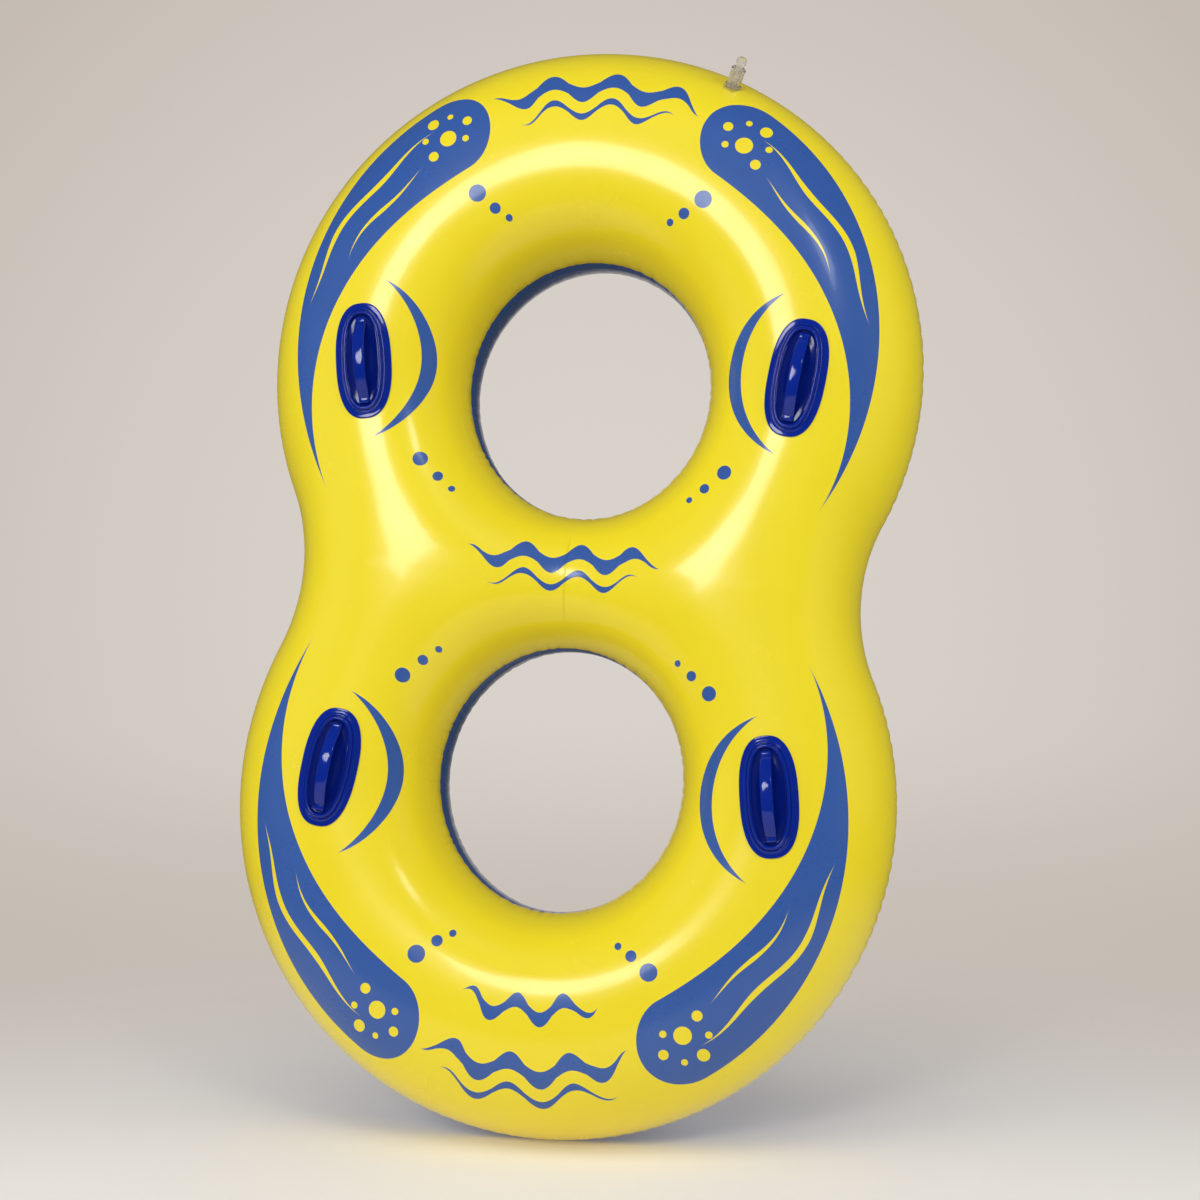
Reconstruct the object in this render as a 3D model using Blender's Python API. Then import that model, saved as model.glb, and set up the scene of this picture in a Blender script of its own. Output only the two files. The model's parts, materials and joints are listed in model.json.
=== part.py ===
"""Figure-eight pool float, lying flat with its printed face up.

Metres, +Z up. The two rings lie along Y, the origin is on the floor under the middle.
Two welded panels hold the air. Their height over the flat outline is that of a skin
stretched over the outline and pushed up by an even pressure.
"""
import math

import bpy
import numpy as np
from mathutils import Matrix, Vector

# Outline, seen from above
RING_RADIUS = 0.575
RING_OFFSET = 0.377
WAIST_FILLET = 0.320
HOLE_HALF_WIDTH = 0.209
HOLE_HALF_LENGTH = 0.224
HOLE_OFFSET = 0.341

# Skin panels and their welded laps
SKIN = 0.0009
GAP = 0.0003
LAP = 0.010
INNER_SEAM_RISE = 0.040
OUTER_SEAM_DROP = 0.006
CREST_FULLNESS = 1.07
CREST_SHARPNESS = 10
SIT_FLAT = 0.004

# Handles
HANDLE_INSET = 0.201
HANDLE_BACK = 0.027
HANDLE_SPLAY = math.radians(7.5)
BASE_WIDTH = 0.098
BASE_LENGTH = 0.202
BASE_SQUARENESS = 2.5
FLANGE_WIDTH = 0.008
FLANGE_EDGE = 0.0016
OUTER_BEAD_WIDTH = 0.0055
OUTER_BEAD_HEIGHT = 0.0046
INNER_BEAD_WIDTH = 0.0075
INNER_BEAD_HEIGHT = 0.0090
BEAD_FOOT = 0.0028
BEAD_ROUNDING = 0.0013
FLANGE_DIP = 0.0006
DISH_FLOOR = 0.0022
DISH_FILLET_RUN = 0.003
DISH_FILLET_RISE = 0.001
GRIP_WIDTH = 0.018
GRIP_THICKNESS = 0.0055
GRIP_SQUARENESS = 4
GRIP_ARCH_FULLNESS = 2.6
GRIP_FINGER_ROOM = 0.028
GRIP_FOOT_LENGTH = 0.010
GRIP_END_ROOM = 0.0015

# Valve, in the middle of one flat skin facet
VALVE_DIRECTION = math.radians(67.5)
VALVE_HALF_ANGLE = math.radians(4.2)
VALVE_RISE = 0.100
VALVE_FACET_MARGIN = 0.003
STEM_RADIUS = 0.0120
STEM_BORE = 0.0076
STEM_HEIGHT = 0.034
STEM_DEPTH = 0.022
LIP_WIDTH = 0.0012
LIP_HEIGHT = 0.0035
NECK_WALL = 0.0016
NECK_HEIGHT = 0.0050
NECK_CLEARANCE = 0.0005
FLANGE_RADIUS = 0.0205
FLANGE_THICKNESS = 0.0012
PLUG_CLEARANCE = 0.0004
PLUG_LENGTH = 0.012
PLUG_CHAMFER = 0.0011
EDGE_BREAK = 0.0008
KNOB_RADIUS = 0.0090
KNOB_HEIGHT = 0.021
KNOB_RIM = 0.0016
KNOB_SHARES = ((0.80, 0.12), (0.78, 0.30), (1.0, 0.46), (1.0, 0.72), (0.85, 0.90), (0.50, 0.985))
FLAP_THICKNESS = 0.0010
FLAP_LAP = 0.0022
HINGE_HALF_WIDTH = 0.0040

# Facets
BAR_RAYS = 8
SIDE_RAYS = 12
END_RAYS = 2
SOLVE_STATIONS = 30
SOLVE_SPLIT = 3
EASING_PASSES = 20
EASING_FIRST_ROW = 6
EASED_RAYS = 4
MID_LINE_CROWDING = 1.2
RAY_CLOSING = 3
UPPER_SPANS = 8
SEAM_ROWS = 3
LOWER_SPANS = 10
HANDLE_SEGMENTS = 28
UNDERSIDE_LOOPS = 4
GRIP_SPANS = 12
GRIP_SECTION_POINTS = 8
VALVE_SEGMENTS = 20
SHARP_ANGLE = math.radians(40)

CORNERS = (("front_left", -1, -1), ("front_right", 1, -1), ("rear_left", -1, 1), ("rear_right", 1, 1))


def clear_scene():
    for item in list(bpy.data.objects):
        bpy.data.objects.remove(item, do_unlink=True)


def material(name, colour, roughness, transmission=0.0):
    made = bpy.data.materials.new(name)
    made.use_nodes = True
    shader = made.node_tree.nodes["Principled BSDF"]
    shader.inputs["Base Color"].default_value = (*colour, 1.0)
    shader.inputs["Roughness"].default_value = roughness
    shader.inputs["Transmission Weight"].default_value = transmission
    made.diffuse_color = (*colour, 1.0)
    return made


def mesh_object(name, points, faces, finish, origin=Vector((0, 0, 0))):
    """A smooth-shaded mesh from points in world space, with its origin where it is asked for."""
    mesh = bpy.data.meshes.new(name)
    mesh.from_pydata([tuple(point - origin) for point in points], [], [tuple(face) for face in faces])
    mesh.materials.append(finish)
    mesh.shade_smooth()
    mesh.set_sharp_from_angle(angle=SHARP_ANGLE)
    made = bpy.data.objects.new(name, mesh)
    made.location = origin
    bpy.context.scene.collection.objects.link(made)
    return made


def band_faces(loops, count):
    """Quads between neighbouring closed loops of count points each, numbered loop by loop."""
    faces = []
    for i in range(loops - 1):
        for j in range(count):
            k = (j + 1) % count
            a = i * count
            b = a + count
            faces.append((a + j, a + k, b + k, b + j))
    return faces


# Outline of a quarter of the float, with x and y positive

def fillet_centre():
    return math.sqrt((RING_RADIUS + WAIST_FILLET) ** 2 - RING_OFFSET ** 2)


def tangent_height():
    return RING_OFFSET * WAIST_FILLET / (RING_RADIUS + WAIST_FILLET)


def section_radius():
    return (RING_RADIUS - HOLE_HALF_WIDTH) / 2


def mid_line():
    """Points of the mid-line from x = 0 to the waist, closer together where the skin turns down."""
    waist = fillet_centre() - WAIST_FILLET
    radius = section_radius()
    quarter_turn = radius * math.pi / 2
    total = quarter_turn + waist - radius
    arc = total * (1 - np.linspace(0, 1, BAR_RAYS + 1)) ** MID_LINE_CROWDING
    turned = waist - radius * (1 - np.cos(np.minimum(arc, quarter_turn) / radius))
    return turned - np.maximum(arc - quarter_turn, 0)


def ray_angles():
    """Rays from the hole's centre: over the bar to the mid-line, then round the ring, with the
    valve half way between two of them. The solution has rays of its own between these."""
    bar = np.arctan2(-HOLE_OFFSET, mid_line())
    side = np.linspace(bar[-1], VALVE_DIRECTION - VALVE_HALF_ANGLE, SIDE_RAYS + 1)
    end = np.linspace(VALVE_DIRECTION + VALVE_HALF_ANGLE, math.pi / 2, END_RAYS + 1)
    coarse = np.concatenate([bar, side[1:], end])
    split = np.arange((len(coarse) - 1) * SOLVE_SPLIT + 1) / SOLVE_SPLIT
    return np.interp(split, np.arange(len(coarse)), coarse)


def hole_reach(angle):
    """Distance from the hole's centre to its oval edge."""
    return 1 / np.hypot(np.cos(angle) / HOLE_HALF_WIDTH, np.sin(angle) / HOLE_HALF_LENGTH)


def outline_reach(angle):
    """Distance from the hole's centre to the mid-line, the waist fillet or the ring's arc."""
    dx, dy = np.cos(angle), np.sin(angle)
    to_mid_line = -HOLE_OFFSET / np.minimum(dy, -1e-9)
    shift = HOLE_OFFSET - RING_OFFSET
    half = dy * shift
    to_ring = -half + np.sqrt(half ** 2 - shift ** 2 + RING_RADIUS ** 2)
    half = HOLE_OFFSET * dy - fillet_centre() * dx
    rest = half ** 2 - fillet_centre() ** 2 - HOLE_OFFSET ** 2 + WAIST_FILLET ** 2
    to_fillet = -half - np.sqrt(np.maximum(rest, 0))
    on_fillet = HOLE_OFFSET + to_ring * dy < tangent_height()
    reach = np.where(on_fillet, to_fillet, to_ring)
    waist = math.atan2(-HOLE_OFFSET, fillet_centre() - WAIST_FILLET)
    return np.where(angle < waist - 1e-6, to_mid_line, reach)


def outline_normal(x, y):
    """Outward direction of the outline in plan."""
    if y < tangent_height():
        return Vector((fillet_centre() - x, -y)).normalized()
    return Vector((x, y - RING_OFFSET)).normalized()


# Inflated height

def plan_grid():
    """Points of the quarter plan, rays by stations, closer together near the welded edges."""
    angle = ray_angles()
    start, reach = hole_reach(angle), outline_reach(angle)
    closed = np.minimum(np.arange(len(angle)) / (BAR_RAYS * SOLVE_SPLIT), 1)[:, None] ** RAY_CLOSING
    s = np.linspace(0, 1, SOLVE_STATIONS + 1)[None]
    share = closed * (1 - np.cos(math.pi * s)) / 2 + (1 - closed) * (1 - np.cos(math.pi / 2 * s))
    out = start[:, None] + (reach - start)[:, None] * share
    return angle, out, out * np.cos(angle)[:, None], HOLE_OFFSET + out * np.sin(angle)[:, None]


def stretched_skin(x, y):
    """Deflection u of an evenly loaded, evenly stretched skin. Each triangle's stiffness is summed,
    the welded edges are held at nought and the two mirror lines are left free."""
    rows, columns = x.shape
    number = np.arange(rows * columns).reshape(rows, columns)
    a, b = number[:-1, :-1].ravel(), number[1:, :-1].ravel()
    c, d = number[1:, 1:].ravel(), number[:-1, 1:].ravel()
    corners = np.concatenate([np.stack(t, 1) for t in ((a, b, c), (a, c, d), (a, b, d), (b, c, d))])
    points = np.stack([x.ravel(), y.ravel()], 1)
    p, q, r = (points[corners[:, k]] for k in range(3))
    edges = np.stack([r - q, p - r, q - p], 1)
    doubled = np.abs(edges[:, 2, 0] * edges[:, 1, 1] - edges[:, 2, 1] * edges[:, 1, 0]) + 1e-12
    stiffness = np.einsum("tid,tjd->tij", edges, edges) / (4 * doubled)[:, None, None]
    count = rows * columns
    load = np.bincount(corners.ravel(), np.repeat(doubled / 12, 3), count)
    place = np.repeat(corners, 3, 1).ravel() * count + np.tile(corners, (1, 3)).ravel()
    matrix = np.bincount(place, stiffness.ravel(), count ** 2).reshape(count, count)
    free = np.ones((rows, columns), bool)
    free[:, 0] = False
    free[BAR_RAYS * SOLVE_SPLIT:, -1] = False
    free = free.ravel()
    lift = np.zeros(count)
    lift[free] = np.linalg.solve(matrix[np.ix_(free, free)], load[free])
    return lift.reshape(rows, columns)


class Shape:
    """The inflated quarter. A strip under this rule rises in a half circle, h = sqrt(2u); wide
    places are held down, because the panels hardly stretch."""

    def __init__(self):
        self.angle, self.out, self.x, self.y = plan_grid()
        height = np.sqrt(2 * np.maximum(stretched_skin(self.x, self.y), 0))
        limit = CREST_FULLNESS * section_radius()
        height = height / (1 + (height / limit) ** CREST_SHARPNESS) ** (1 / CREST_SHARPNESS)
        self.square = height ** 2
        step = np.sqrt(np.diff(self.out) ** 2 + np.diff(height) ** 2)
        self.arc = np.concatenate([np.zeros((len(step), 1)), np.cumsum(step, 1)], 1)
        self.rays = (len(self.angle) - 1) // SOLVE_SPLIT + 1
        self.rest = height[BAR_RAYS * SOLVE_SPLIT:].max(1).min() - SKIN - GAP - SIT_FLAT

    def length(self, ray):
        """Arc length over a ray, from the inner equator to the outer one or to the mid-line."""
        return self.arc[ray * SOLVE_SPLIT, -1]

    def on_ray(self, ray, arc):
        """Point at this arc length above the inner equator, or below it where arc is negative."""
        k = ray * SOLVE_SPLIT
        out = float(np.interp(abs(arc), self.arc[k], self.out[k]))
        height = math.sqrt(float(np.interp(out, self.out[k], self.square[k])))
        spot = (out * math.cos(self.angle[k]), HOLE_OFFSET + out * math.sin(self.angle[k]))
        return Vector((*spot, math.copysign(height, arc)))

    def past_outline(self, ray, drop):
        """Point at this arc length below the outer equator, square to the outline."""
        k = ray * SOLVE_SPLIT
        edge = Vector((self.x[k, -1], self.y[k, -1]))
        normal = outline_normal(*edge)
        inward = Vector((math.cos(self.angle[k]), math.sin(self.angle[k]))).dot(normal)
        depth = (self.out[k, -1] - self.out[k, -3]) * inward
        radius = self.square[k, -3] / (2 * depth)
        spot = edge - normal * radius * (1 - math.cos(drop / radius))
        return Vector((*spot, -radius * math.sin(drop / radius)))

    def height(self, x, y):
        """Height of the upper skin over a plan point, above the equator."""
        angle = math.atan2(y - HOLE_OFFSET, x)
        start, reach = float(hole_reach(angle)), float(outline_reach(np.array([angle]))[0])
        share = (math.hypot(x, y - HOLE_OFFSET) - start) / (reach - start)
        ray = int(np.clip(np.searchsorted(self.angle, angle) - 1, 0, len(self.angle) - 2))
        part = (angle - self.angle[ray]) / (self.angle[ray + 1] - self.angle[ray])
        pair = []
        for k in (ray, ray + 1):
            out = self.out[k, 0] + share * (self.out[k, -1] - self.out[k, 0])
            pair.append(float(np.interp(out, self.out[k], self.square[k])))
        return math.sqrt(max((1 - part) * pair[0] + part * pair[1], 0))


# Skin panels

def upper_rows(shape):
    """Arc lengths of the yellow panel's rows on one ray, from its inner seam to the outer one. One
    flat span is wide enough for the valve."""
    facet = 2 * (FLANGE_RADIUS + VALVE_FACET_MARGIN)
    rows = []
    for ray in range(shape.rays):
        total = shape.length(ray)
        near = INNER_SEAM_RISE + LAP
        low, high = total - VALVE_RISE - facet / 2, total - VALVE_RISE + facet / 2
        seam = total - (LAP - OUTER_SEAM_DROP if ray > BAR_RAYS else 0)
        even = np.linspace(near, seam, UPPER_SPANS + 1 + SEAM_ROWS)
        outside = np.linspace(high, seam, SEAM_ROWS)
        valved = np.concatenate([np.linspace(near, low, UPPER_SPANS + 1), outside])
        share = min(max((ray - BAR_RAYS) / SIDE_RAYS, 0), 1)
        arcs = (1 - share) * even + share * valved
        rows.append([INNER_SEAM_RISE] + list(arcs))
    return rows


def panel_points(shape, upper):
    """Rows of points from the inner seam outwards. A bar ray ends on the mid-line and has no point
    in the last row."""
    columns = []
    above = upper_rows(shape)
    for ray in range(shape.rays):
        ring = ray >= BAR_RAYS
        if upper:
            spots = [shape.on_ray(ray, arc) for arc in above[ray]]
            drops = (OUTER_SEAM_DROP - LAP, OUTER_SEAM_DROP)
        else:
            total = shape.length(ray)
            spots = [shape.on_ray(ray, INNER_SEAM_RISE + LAP), shape.on_ray(ray, INNER_SEAM_RISE)]
            spots += [shape.on_ray(ray, -arc) for arc in np.linspace(0, total, LOWER_SPANS + 1)]
            drops = (OUTER_SEAM_DROP, OUTER_SEAM_DROP - LAP)
        if ring:
            spots = spots[:-1] + [shape.past_outline(ray, drop) for drop in drops]
        else:
            spots[-1].y = 0.0
            spots.append(None)
        if ray in (0, shape.rays - 1):
            for spot in filter(None, spots):
                spot.x = 0.0
        if ray == BAR_RAYS:
            spots[-1].y = spots[-2].y = 0.0
        columns.append(spots)
    ease_waist(shape, columns, 1.0 if upper else -1.0)
    return columns


def ease_waist(shape, columns, side):
    """Evens out the spacing where the straight rays crowd into the corner of waist and mid-line. Each
    point goes to the middle of its neighbours and back up onto the skin."""
    last = len(columns[0]) - 2
    for _ in range(EASING_PASSES):
        for k in range(BAR_RAYS - EASED_RAYS, BAR_RAYS + EASED_RAYS + 1):
            for i in range(EASING_FIRST_ROW, last):
                spot = (columns[k - 1][i] + columns[k + 1][i] + columns[k][i - 1] + columns[k][i + 1]) / 4
                spot.z = side * shape.height(spot.x, spot.y)
                columns[k][i] = spot


def panel_mesh(columns):
    """Quads between neighbouring rays, facing out."""
    number, points, faces = {}, [], []
    for k, spots in enumerate(columns):
        for i, spot in enumerate(spots):
            if spot is not None:
                number[k, i] = len(points)
                points.append(spot)
    for k in range(len(columns) - 1):
        for i in range(len(columns[0]) - 1):
            corner = ((k, i), (k, i + 1), (k + 1, i + 1), (k + 1, i))
            if all(c in number for c in corner):
                faces.append([number[c] for c in corner])
    return points, faces


def face_normal(points, face):
    a, b, c, d = (points[n] for n in face)
    return (c - a).cross(d - b).normalized()


def inset(points, faces, distance):
    """Moves each point inwards by its mean normal. A point in a mirror plane stays in that plane."""
    normals = [Vector() for _ in points]
    for face in faces:
        normal = face_normal(points, face)
        for n in face:
            normals[n] += normal
    for point, normal in zip(points, normals):
        if point.x == 0.0:
            normal.x = 0.0
        if point.y == 0.0:
            normal.y = 0.0
        point -= normal.normalized() * distance


def skin_panel(name, shape, upper, finish):
    points, faces = panel_mesh(panel_points(shape, upper))
    if not upper:
        faces = [face[::-1] for face in faces]
        inset(points, faces, SKIN + GAP)
        for point in points:
            point.z = max(point.z, -shape.rest)
    for point in points:
        point.z += shape.rest
    panel = mesh_object(name, points, faces, finish)
    mirror = panel.modifiers.new("other_quarters", "MIRROR")
    mirror.use_axis = (True, True, False)
    mirror.merge_threshold = 0.0001
    wall = panel.modifiers.new("wall", "SOLIDIFY")
    wall.thickness = SKIN
    wall.offset = -1.0
    wall.use_even_offset = True
    return panel, points, faces


# Handles

class HandlePlace:
    """Maps across, along and up on a handle to world points over the skin."""

    def __init__(self, shape, side_x, side_y):
        self.shape, self.side_x, self.side_y = shape, side_x, side_y
        self.x, self.y = RING_RADIUS - HANDLE_INSET, RING_OFFSET - HANDLE_BACK
        step = BASE_WIDTH / 4
        fall_x = shape.height(self.x - step, self.y) - shape.height(self.x + step, self.y)
        fall_y = shape.height(self.x, self.y - step) - shape.height(self.x, self.y + step)
        self.normal = Vector((fall_x, fall_y, 2 * step)).normalized()

    def at(self, across, along, up):
        lean_x, lean_y = math.sin(HANDLE_SPLAY), math.cos(HANDLE_SPLAY)
        x = self.x + across * lean_y + along * lean_x
        y = self.y - across * lean_x + along * lean_y
        spot = Vector((x, y, self.shape.height(x, y) + self.shape.rest)) + self.normal * up
        return Vector((spot.x * self.side_x, spot.y * self.side_y, spot.z))

    def faces(self, faces):
        """Mirrored corners turn their faces over so that they still look out."""
        if self.side_x * self.side_y > 0:
            return faces
        return [face[::-1] for face in faces]


def oval(inset_by):
    """Across and along on the base's rounded oval, drawn in by this much."""
    half_width, half_length = BASE_WIDTH / 2 - inset_by, BASE_LENGTH / 2 - inset_by
    power = 2 / BASE_SQUARENESS
    spots = []
    for k in range(HANDLE_SEGMENTS):
        turn = 2 * math.pi * (k + 0.5) / HANDLE_SEGMENTS
        across, along = math.cos(turn), math.sin(turn)
        spots.append((half_width * math.copysign(abs(across) ** power, across),
                      half_length * math.copysign(abs(along) ** power, along)))
    return spots


def base_profile():
    """How far in from the rim and how far above the skin each loop of the base lies: a thin welded
    flange, a low bead, a tall bead, and the wall and floor of the dish."""
    outer = FLANGE_WIDTH
    groove = outer + OUTER_BEAD_WIDTH
    dish = groove + INNER_BEAD_WIDTH
    return [(0.0, FLANGE_EDGE), (outer, BEAD_FOOT - FLANGE_DIP),
            (outer + 0.25 * OUTER_BEAD_WIDTH, OUTER_BEAD_HEIGHT),
            (outer + 0.75 * OUTER_BEAD_WIDTH, OUTER_BEAD_HEIGHT), (groove, BEAD_FOOT),
            (groove + 0.22 * INNER_BEAD_WIDTH, INNER_BEAD_HEIGHT - BEAD_ROUNDING),
            (groove + 0.5 * INNER_BEAD_WIDTH, INNER_BEAD_HEIGHT),
            (groove + 0.8 * INNER_BEAD_WIDTH, INNER_BEAD_HEIGHT - BEAD_ROUNDING),
            (dish, DISH_FLOOR + DISH_FILLET_RISE), (dish + DISH_FILLET_RUN, DISH_FLOOR)]


def handle_base(name, place, finish):
    profile = base_profile()
    step = BASE_WIDTH / 2 / UNDERSIDE_LOOPS
    under = GAP + step ** 2 / 4 / section_radius()
    loops = [(step * k, under) for k in range(UNDERSIDE_LOOPS - 1, -1, -1)]
    loops += profile + [(step * (UNDERSIDE_LOOPS - 1), DISH_FLOOR)]
    points = [place.at(*spot, up) for inset_by, up in loops for spot in oval(inset_by)]
    faces = band_faces(len(loops), HANDLE_SEGMENTS)
    low_centre = len(points)
    points += [place.at(0, 0, under), place.at(0, 0, DISH_FLOOR)]
    last = (len(loops) - 1) * HANDLE_SEGMENTS
    for k in range(HANDLE_SEGMENTS):
        n = (k + 1) % HANDLE_SEGMENTS
        faces.append((low_centre, n, k))
        faces.append((low_centre + 1, last + k, last + n))
    return mesh_object(name, points, place.faces(faces), finish)


def grip_path():
    """Centre line of the strap: along the handle and above the skin."""
    low = DISH_FLOOR + GAP + GRIP_THICKNESS / 2
    high = DISH_FLOOR + GRIP_FINGER_ROOM + GRIP_THICKNESS / 2
    end = BASE_LENGTH / 2 - base_profile()[-1][0] - GRIP_END_ROOM
    foot = end - GRIP_FOOT_LENGTH
    turn = np.linspace(-math.pi / 2, math.pi / 2, GRIP_SPANS + 1)
    arch = [(foot * s, low + (high - low) * (1 - abs(s) ** GRIP_ARCH_FULLNESS)) for s in np.sin(turn)]
    return [(-end, low)] + arch + [(end, low)]


def handle_grip(name, place, finish):
    path = grip_path()
    power = 2 / GRIP_SQUARENESS
    points = []
    for i, (along, up) in enumerate(path):
        before, after = path[max(i - 1, 0)], path[min(i + 1, len(path) - 1)]
        run, rise = after[0] - before[0], after[1] - before[1]
        length = math.hypot(run, rise)
        for k in range(GRIP_SECTION_POINTS):
            turn = 2 * math.pi * (k + 0.5) / GRIP_SECTION_POINTS
            across = GRIP_WIDTH / 2 * math.copysign(abs(math.cos(turn)) ** power, math.cos(turn))
            lift = GRIP_THICKNESS / 2 * math.copysign(abs(math.sin(turn)) ** power, math.sin(turn))
            points.append(place.at(across, along - lift * rise / length, up + lift * run / length))
    faces = [face[::-1] for face in band_faces(len(path), GRIP_SECTION_POINTS)]
    last = (len(path) - 1) * GRIP_SECTION_POINTS
    faces.append(tuple(range(GRIP_SECTION_POINTS)))
    faces.append(tuple(reversed(range(last, last + GRIP_SECTION_POINTS))))
    return mesh_object(name, points, place.faces(faces), finish)


# Valve

def valve_frame(shape, points, faces):
    """Frame on the flat skin facet between the two valve rays, with z out of the skin and y towards
    the crest, and how far the facet's corners stand off its plane."""
    pair = (BAR_RAYS + SIDE_RAYS, BAR_RAYS + SIDE_RAYS + 1)
    spots = [shape.on_ray(ray, shape.length(ray) - VALVE_RISE) for ray in pair]
    target = (spots[0] + spots[1]) / 2 + Vector((0, 0, shape.rest))
    facet = min(faces, key=lambda face: (sum((points[n] for n in face), Vector()) / 4 - target).length)
    middle = sum((points[n] for n in facet), Vector()) / 4
    out = face_normal(points, facet)
    up = Vector((0, 0, 1))
    up = (up - out * up.dot(out)).normalized()
    side = up.cross(out)
    frame = Matrix((side, up, out)).transposed().to_4x4()
    frame.translation = middle
    return frame, max(abs((points[n] - middle).dot(out)) for n in facet)


def turned(name, profile, frame, finish, origin=(0, 0, 0)):
    """Revolves an outline of radius and height pairs about the frame's z. It runs anticlockwise, and
    either closes on itself or begins and ends on the axis."""
    poles = profile[0][0] == 0.0
    ring = profile[1:-1] if poles else profile
    points = []
    for radius, up in ring:
        for k in range(VALVE_SEGMENTS):
            turn = 2 * math.pi * k / VALVE_SEGMENTS
            points.append(frame @ Vector((radius * math.cos(turn), radius * math.sin(turn), up)))
    faces = band_faces(len(ring), VALVE_SEGMENTS)
    last = len(points) - VALVE_SEGMENTS
    if poles:
        points += [frame @ Vector((0, 0, profile[0][1])), frame @ Vector((0, 0, profile[-1][1]))]
    for k in range(VALVE_SEGMENTS):
        n = (k + 1) % VALVE_SEGMENTS
        if poles:
            faces += [(len(points) - 2, n, k), (len(points) - 1, last + k, last + n)]
        else:
            faces.append((last + k, last + n, n, k))
    return mesh_object(name, points, faces, finish, frame @ Vector(origin))


def neck_radius():
    return STEM_RADIUS + NECK_CLEARANCE + NECK_WALL


def cut_valve_hole(panel, frame):
    """The skin is pierced a gap wider than the neck that stands through it."""
    reach = SKIN + FLANGE_RADIUS
    radius = neck_radius() + GAP
    outline = [(0.0, -reach), (radius, -reach), (radius, reach), (0.0, reach)]
    cutter = turned("valve_hole_cutter", outline, frame, panel.data.materials[0])
    cutter.hide_render = True
    cutter.display_type = "WIRE"
    hole = panel.modifiers.new("valve_hole", "BOOLEAN")
    hole.operation = "DIFFERENCE"
    hole.solver = "EXACT"
    hole.object = cutter


def valve_flange(frame, warp, finish):
    top = -SKIN - GAP - warp
    low = top - FLANGE_THICKNESS
    bore, neck = STEM_RADIUS + NECK_CLEARANCE, neck_radius()
    outline = [(bore, low), (FLANGE_RADIUS, low), (FLANGE_RADIUS, top), (neck, top),
               (neck, NECK_HEIGHT - EDGE_BREAK), (neck - EDGE_BREAK, NECK_HEIGHT), (bore, NECK_HEIGHT)]
    return turned("valve_flange", outline, frame, finish), low


def valve_stem(frame, flange_low, finish):
    """A tube with a lip outside and a collar that catches the flange inside."""
    collar_top = flange_low - GAP
    collar_low = collar_top - FLANGE_THICKNESS
    lip = STEM_RADIUS + LIP_WIDTH
    lip_low = STEM_HEIGHT - LIP_HEIGHT
    outline = [(STEM_BORE, -STEM_DEPTH), (STEM_RADIUS, -STEM_DEPTH), (STEM_RADIUS, collar_low),
               (lip, collar_low), (lip, collar_top), (STEM_RADIUS, collar_top), (STEM_RADIUS, lip_low),
               (lip, lip_low + LIP_WIDTH), (lip, STEM_HEIGHT - EDGE_BREAK), (lip - EDGE_BREAK, STEM_HEIGHT),
               (STEM_BORE, STEM_HEIGHT)]
    return turned("valve_stem", outline, frame, finish)


def valve_cap(frame, finish):
    """A pin in the bore under a knob with a narrow waist and a rounded head."""
    pin = STEM_BORE - PLUG_CLEARANCE
    seat = STEM_HEIGHT + GAP
    rim = STEM_RADIUS - EDGE_BREAK
    low = STEM_HEIGHT - PLUG_LENGTH
    outline = [(0.0, low), (pin - PLUG_CHAMFER, low), (pin, low + PLUG_CHAMFER), (pin, seat)]
    outline += [(rim, seat), (rim, seat + KNOB_RIM)]
    outline += [(KNOB_RADIUS * radius, seat + KNOB_HEIGHT * up) for radius, up in KNOB_SHARES]
    outline.append((0.0, seat + KNOB_HEIGHT))
    return turned("valve_cap", outline, frame, finish)


def valve_flap(frame, finish):
    """A disc that closes the bore from inside, with a straight tab at its hinge."""
    radius = STEM_BORE + FLAP_LAP
    top = -STEM_DEPTH - GAP
    low = top - FLAP_THICKNESS
    hinge = Vector((radius, 0, (top + low) / 2))
    first = math.asin(HINGE_HALF_WIDTH / radius)
    outline = []
    for turn in np.linspace(first, 2 * math.pi - first, VALVE_SEGMENTS - 3):
        outline.append((radius * math.cos(turn), radius * math.sin(turn)))
    outline += [(radius + GAP, -HINGE_HALF_WIDTH), (radius + GAP, HINGE_HALF_WIDTH)]
    count = len(outline)
    points = [frame @ Vector((x, y, up)) for up in (low, top) for x, y in outline]
    faces = band_faces(2, count) + [tuple(reversed(range(count))), tuple(range(count, 2 * count))]
    return mesh_object("valve_flap", points, faces, finish, frame @ hinge)


def build():
    clear_scene()
    shape = Shape()
    top_finish = material("top_vinyl", (0.831, 0.701, 0.026), 0.24)
    bottom_finish = material("bottom_vinyl", (0.026, 0.102, 0.352), 0.28)
    base_finish = material("handle_vinyl", (0.002, 0.016, 0.300), 0.14)
    grip_finish = material("grip_vinyl", (0.002, 0.018, 0.330), 0.12)
    flange_finish = material("flange_vinyl", (0.700, 0.740, 0.700), 0.30, 0.4)
    stem_finish = material("stem_clear_vinyl", (0.760, 0.800, 0.780), 0.22, 0.5)
    cap_finish = material("cap_clear_vinyl", (0.800, 0.830, 0.820), 0.20, 0.5)
    flap_finish = material("flap_vinyl", (0.680, 0.720, 0.720), 0.35, 0.4)

    top, points, faces = skin_panel("top_skin", shape, True, top_finish)
    skin_panel("bottom_skin", shape, False, bottom_finish)
    for corner, side_x, side_y in CORNERS:
        place = HandlePlace(shape, side_x, side_y)
        handle_base("handle_base_" + corner, place, base_finish)
        handle_grip("handle_grip_" + corner, place, grip_finish)
    frame, warp = valve_frame(shape, points, faces)
    cut_valve_hole(top, frame)
    flange_low = valve_flange(frame, warp, flange_finish)[1]
    valve_stem(frame, flange_low, stem_finish)
    valve_cap(frame, cap_finish)
    valve_flap(frame, flap_finish)


build()
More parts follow.
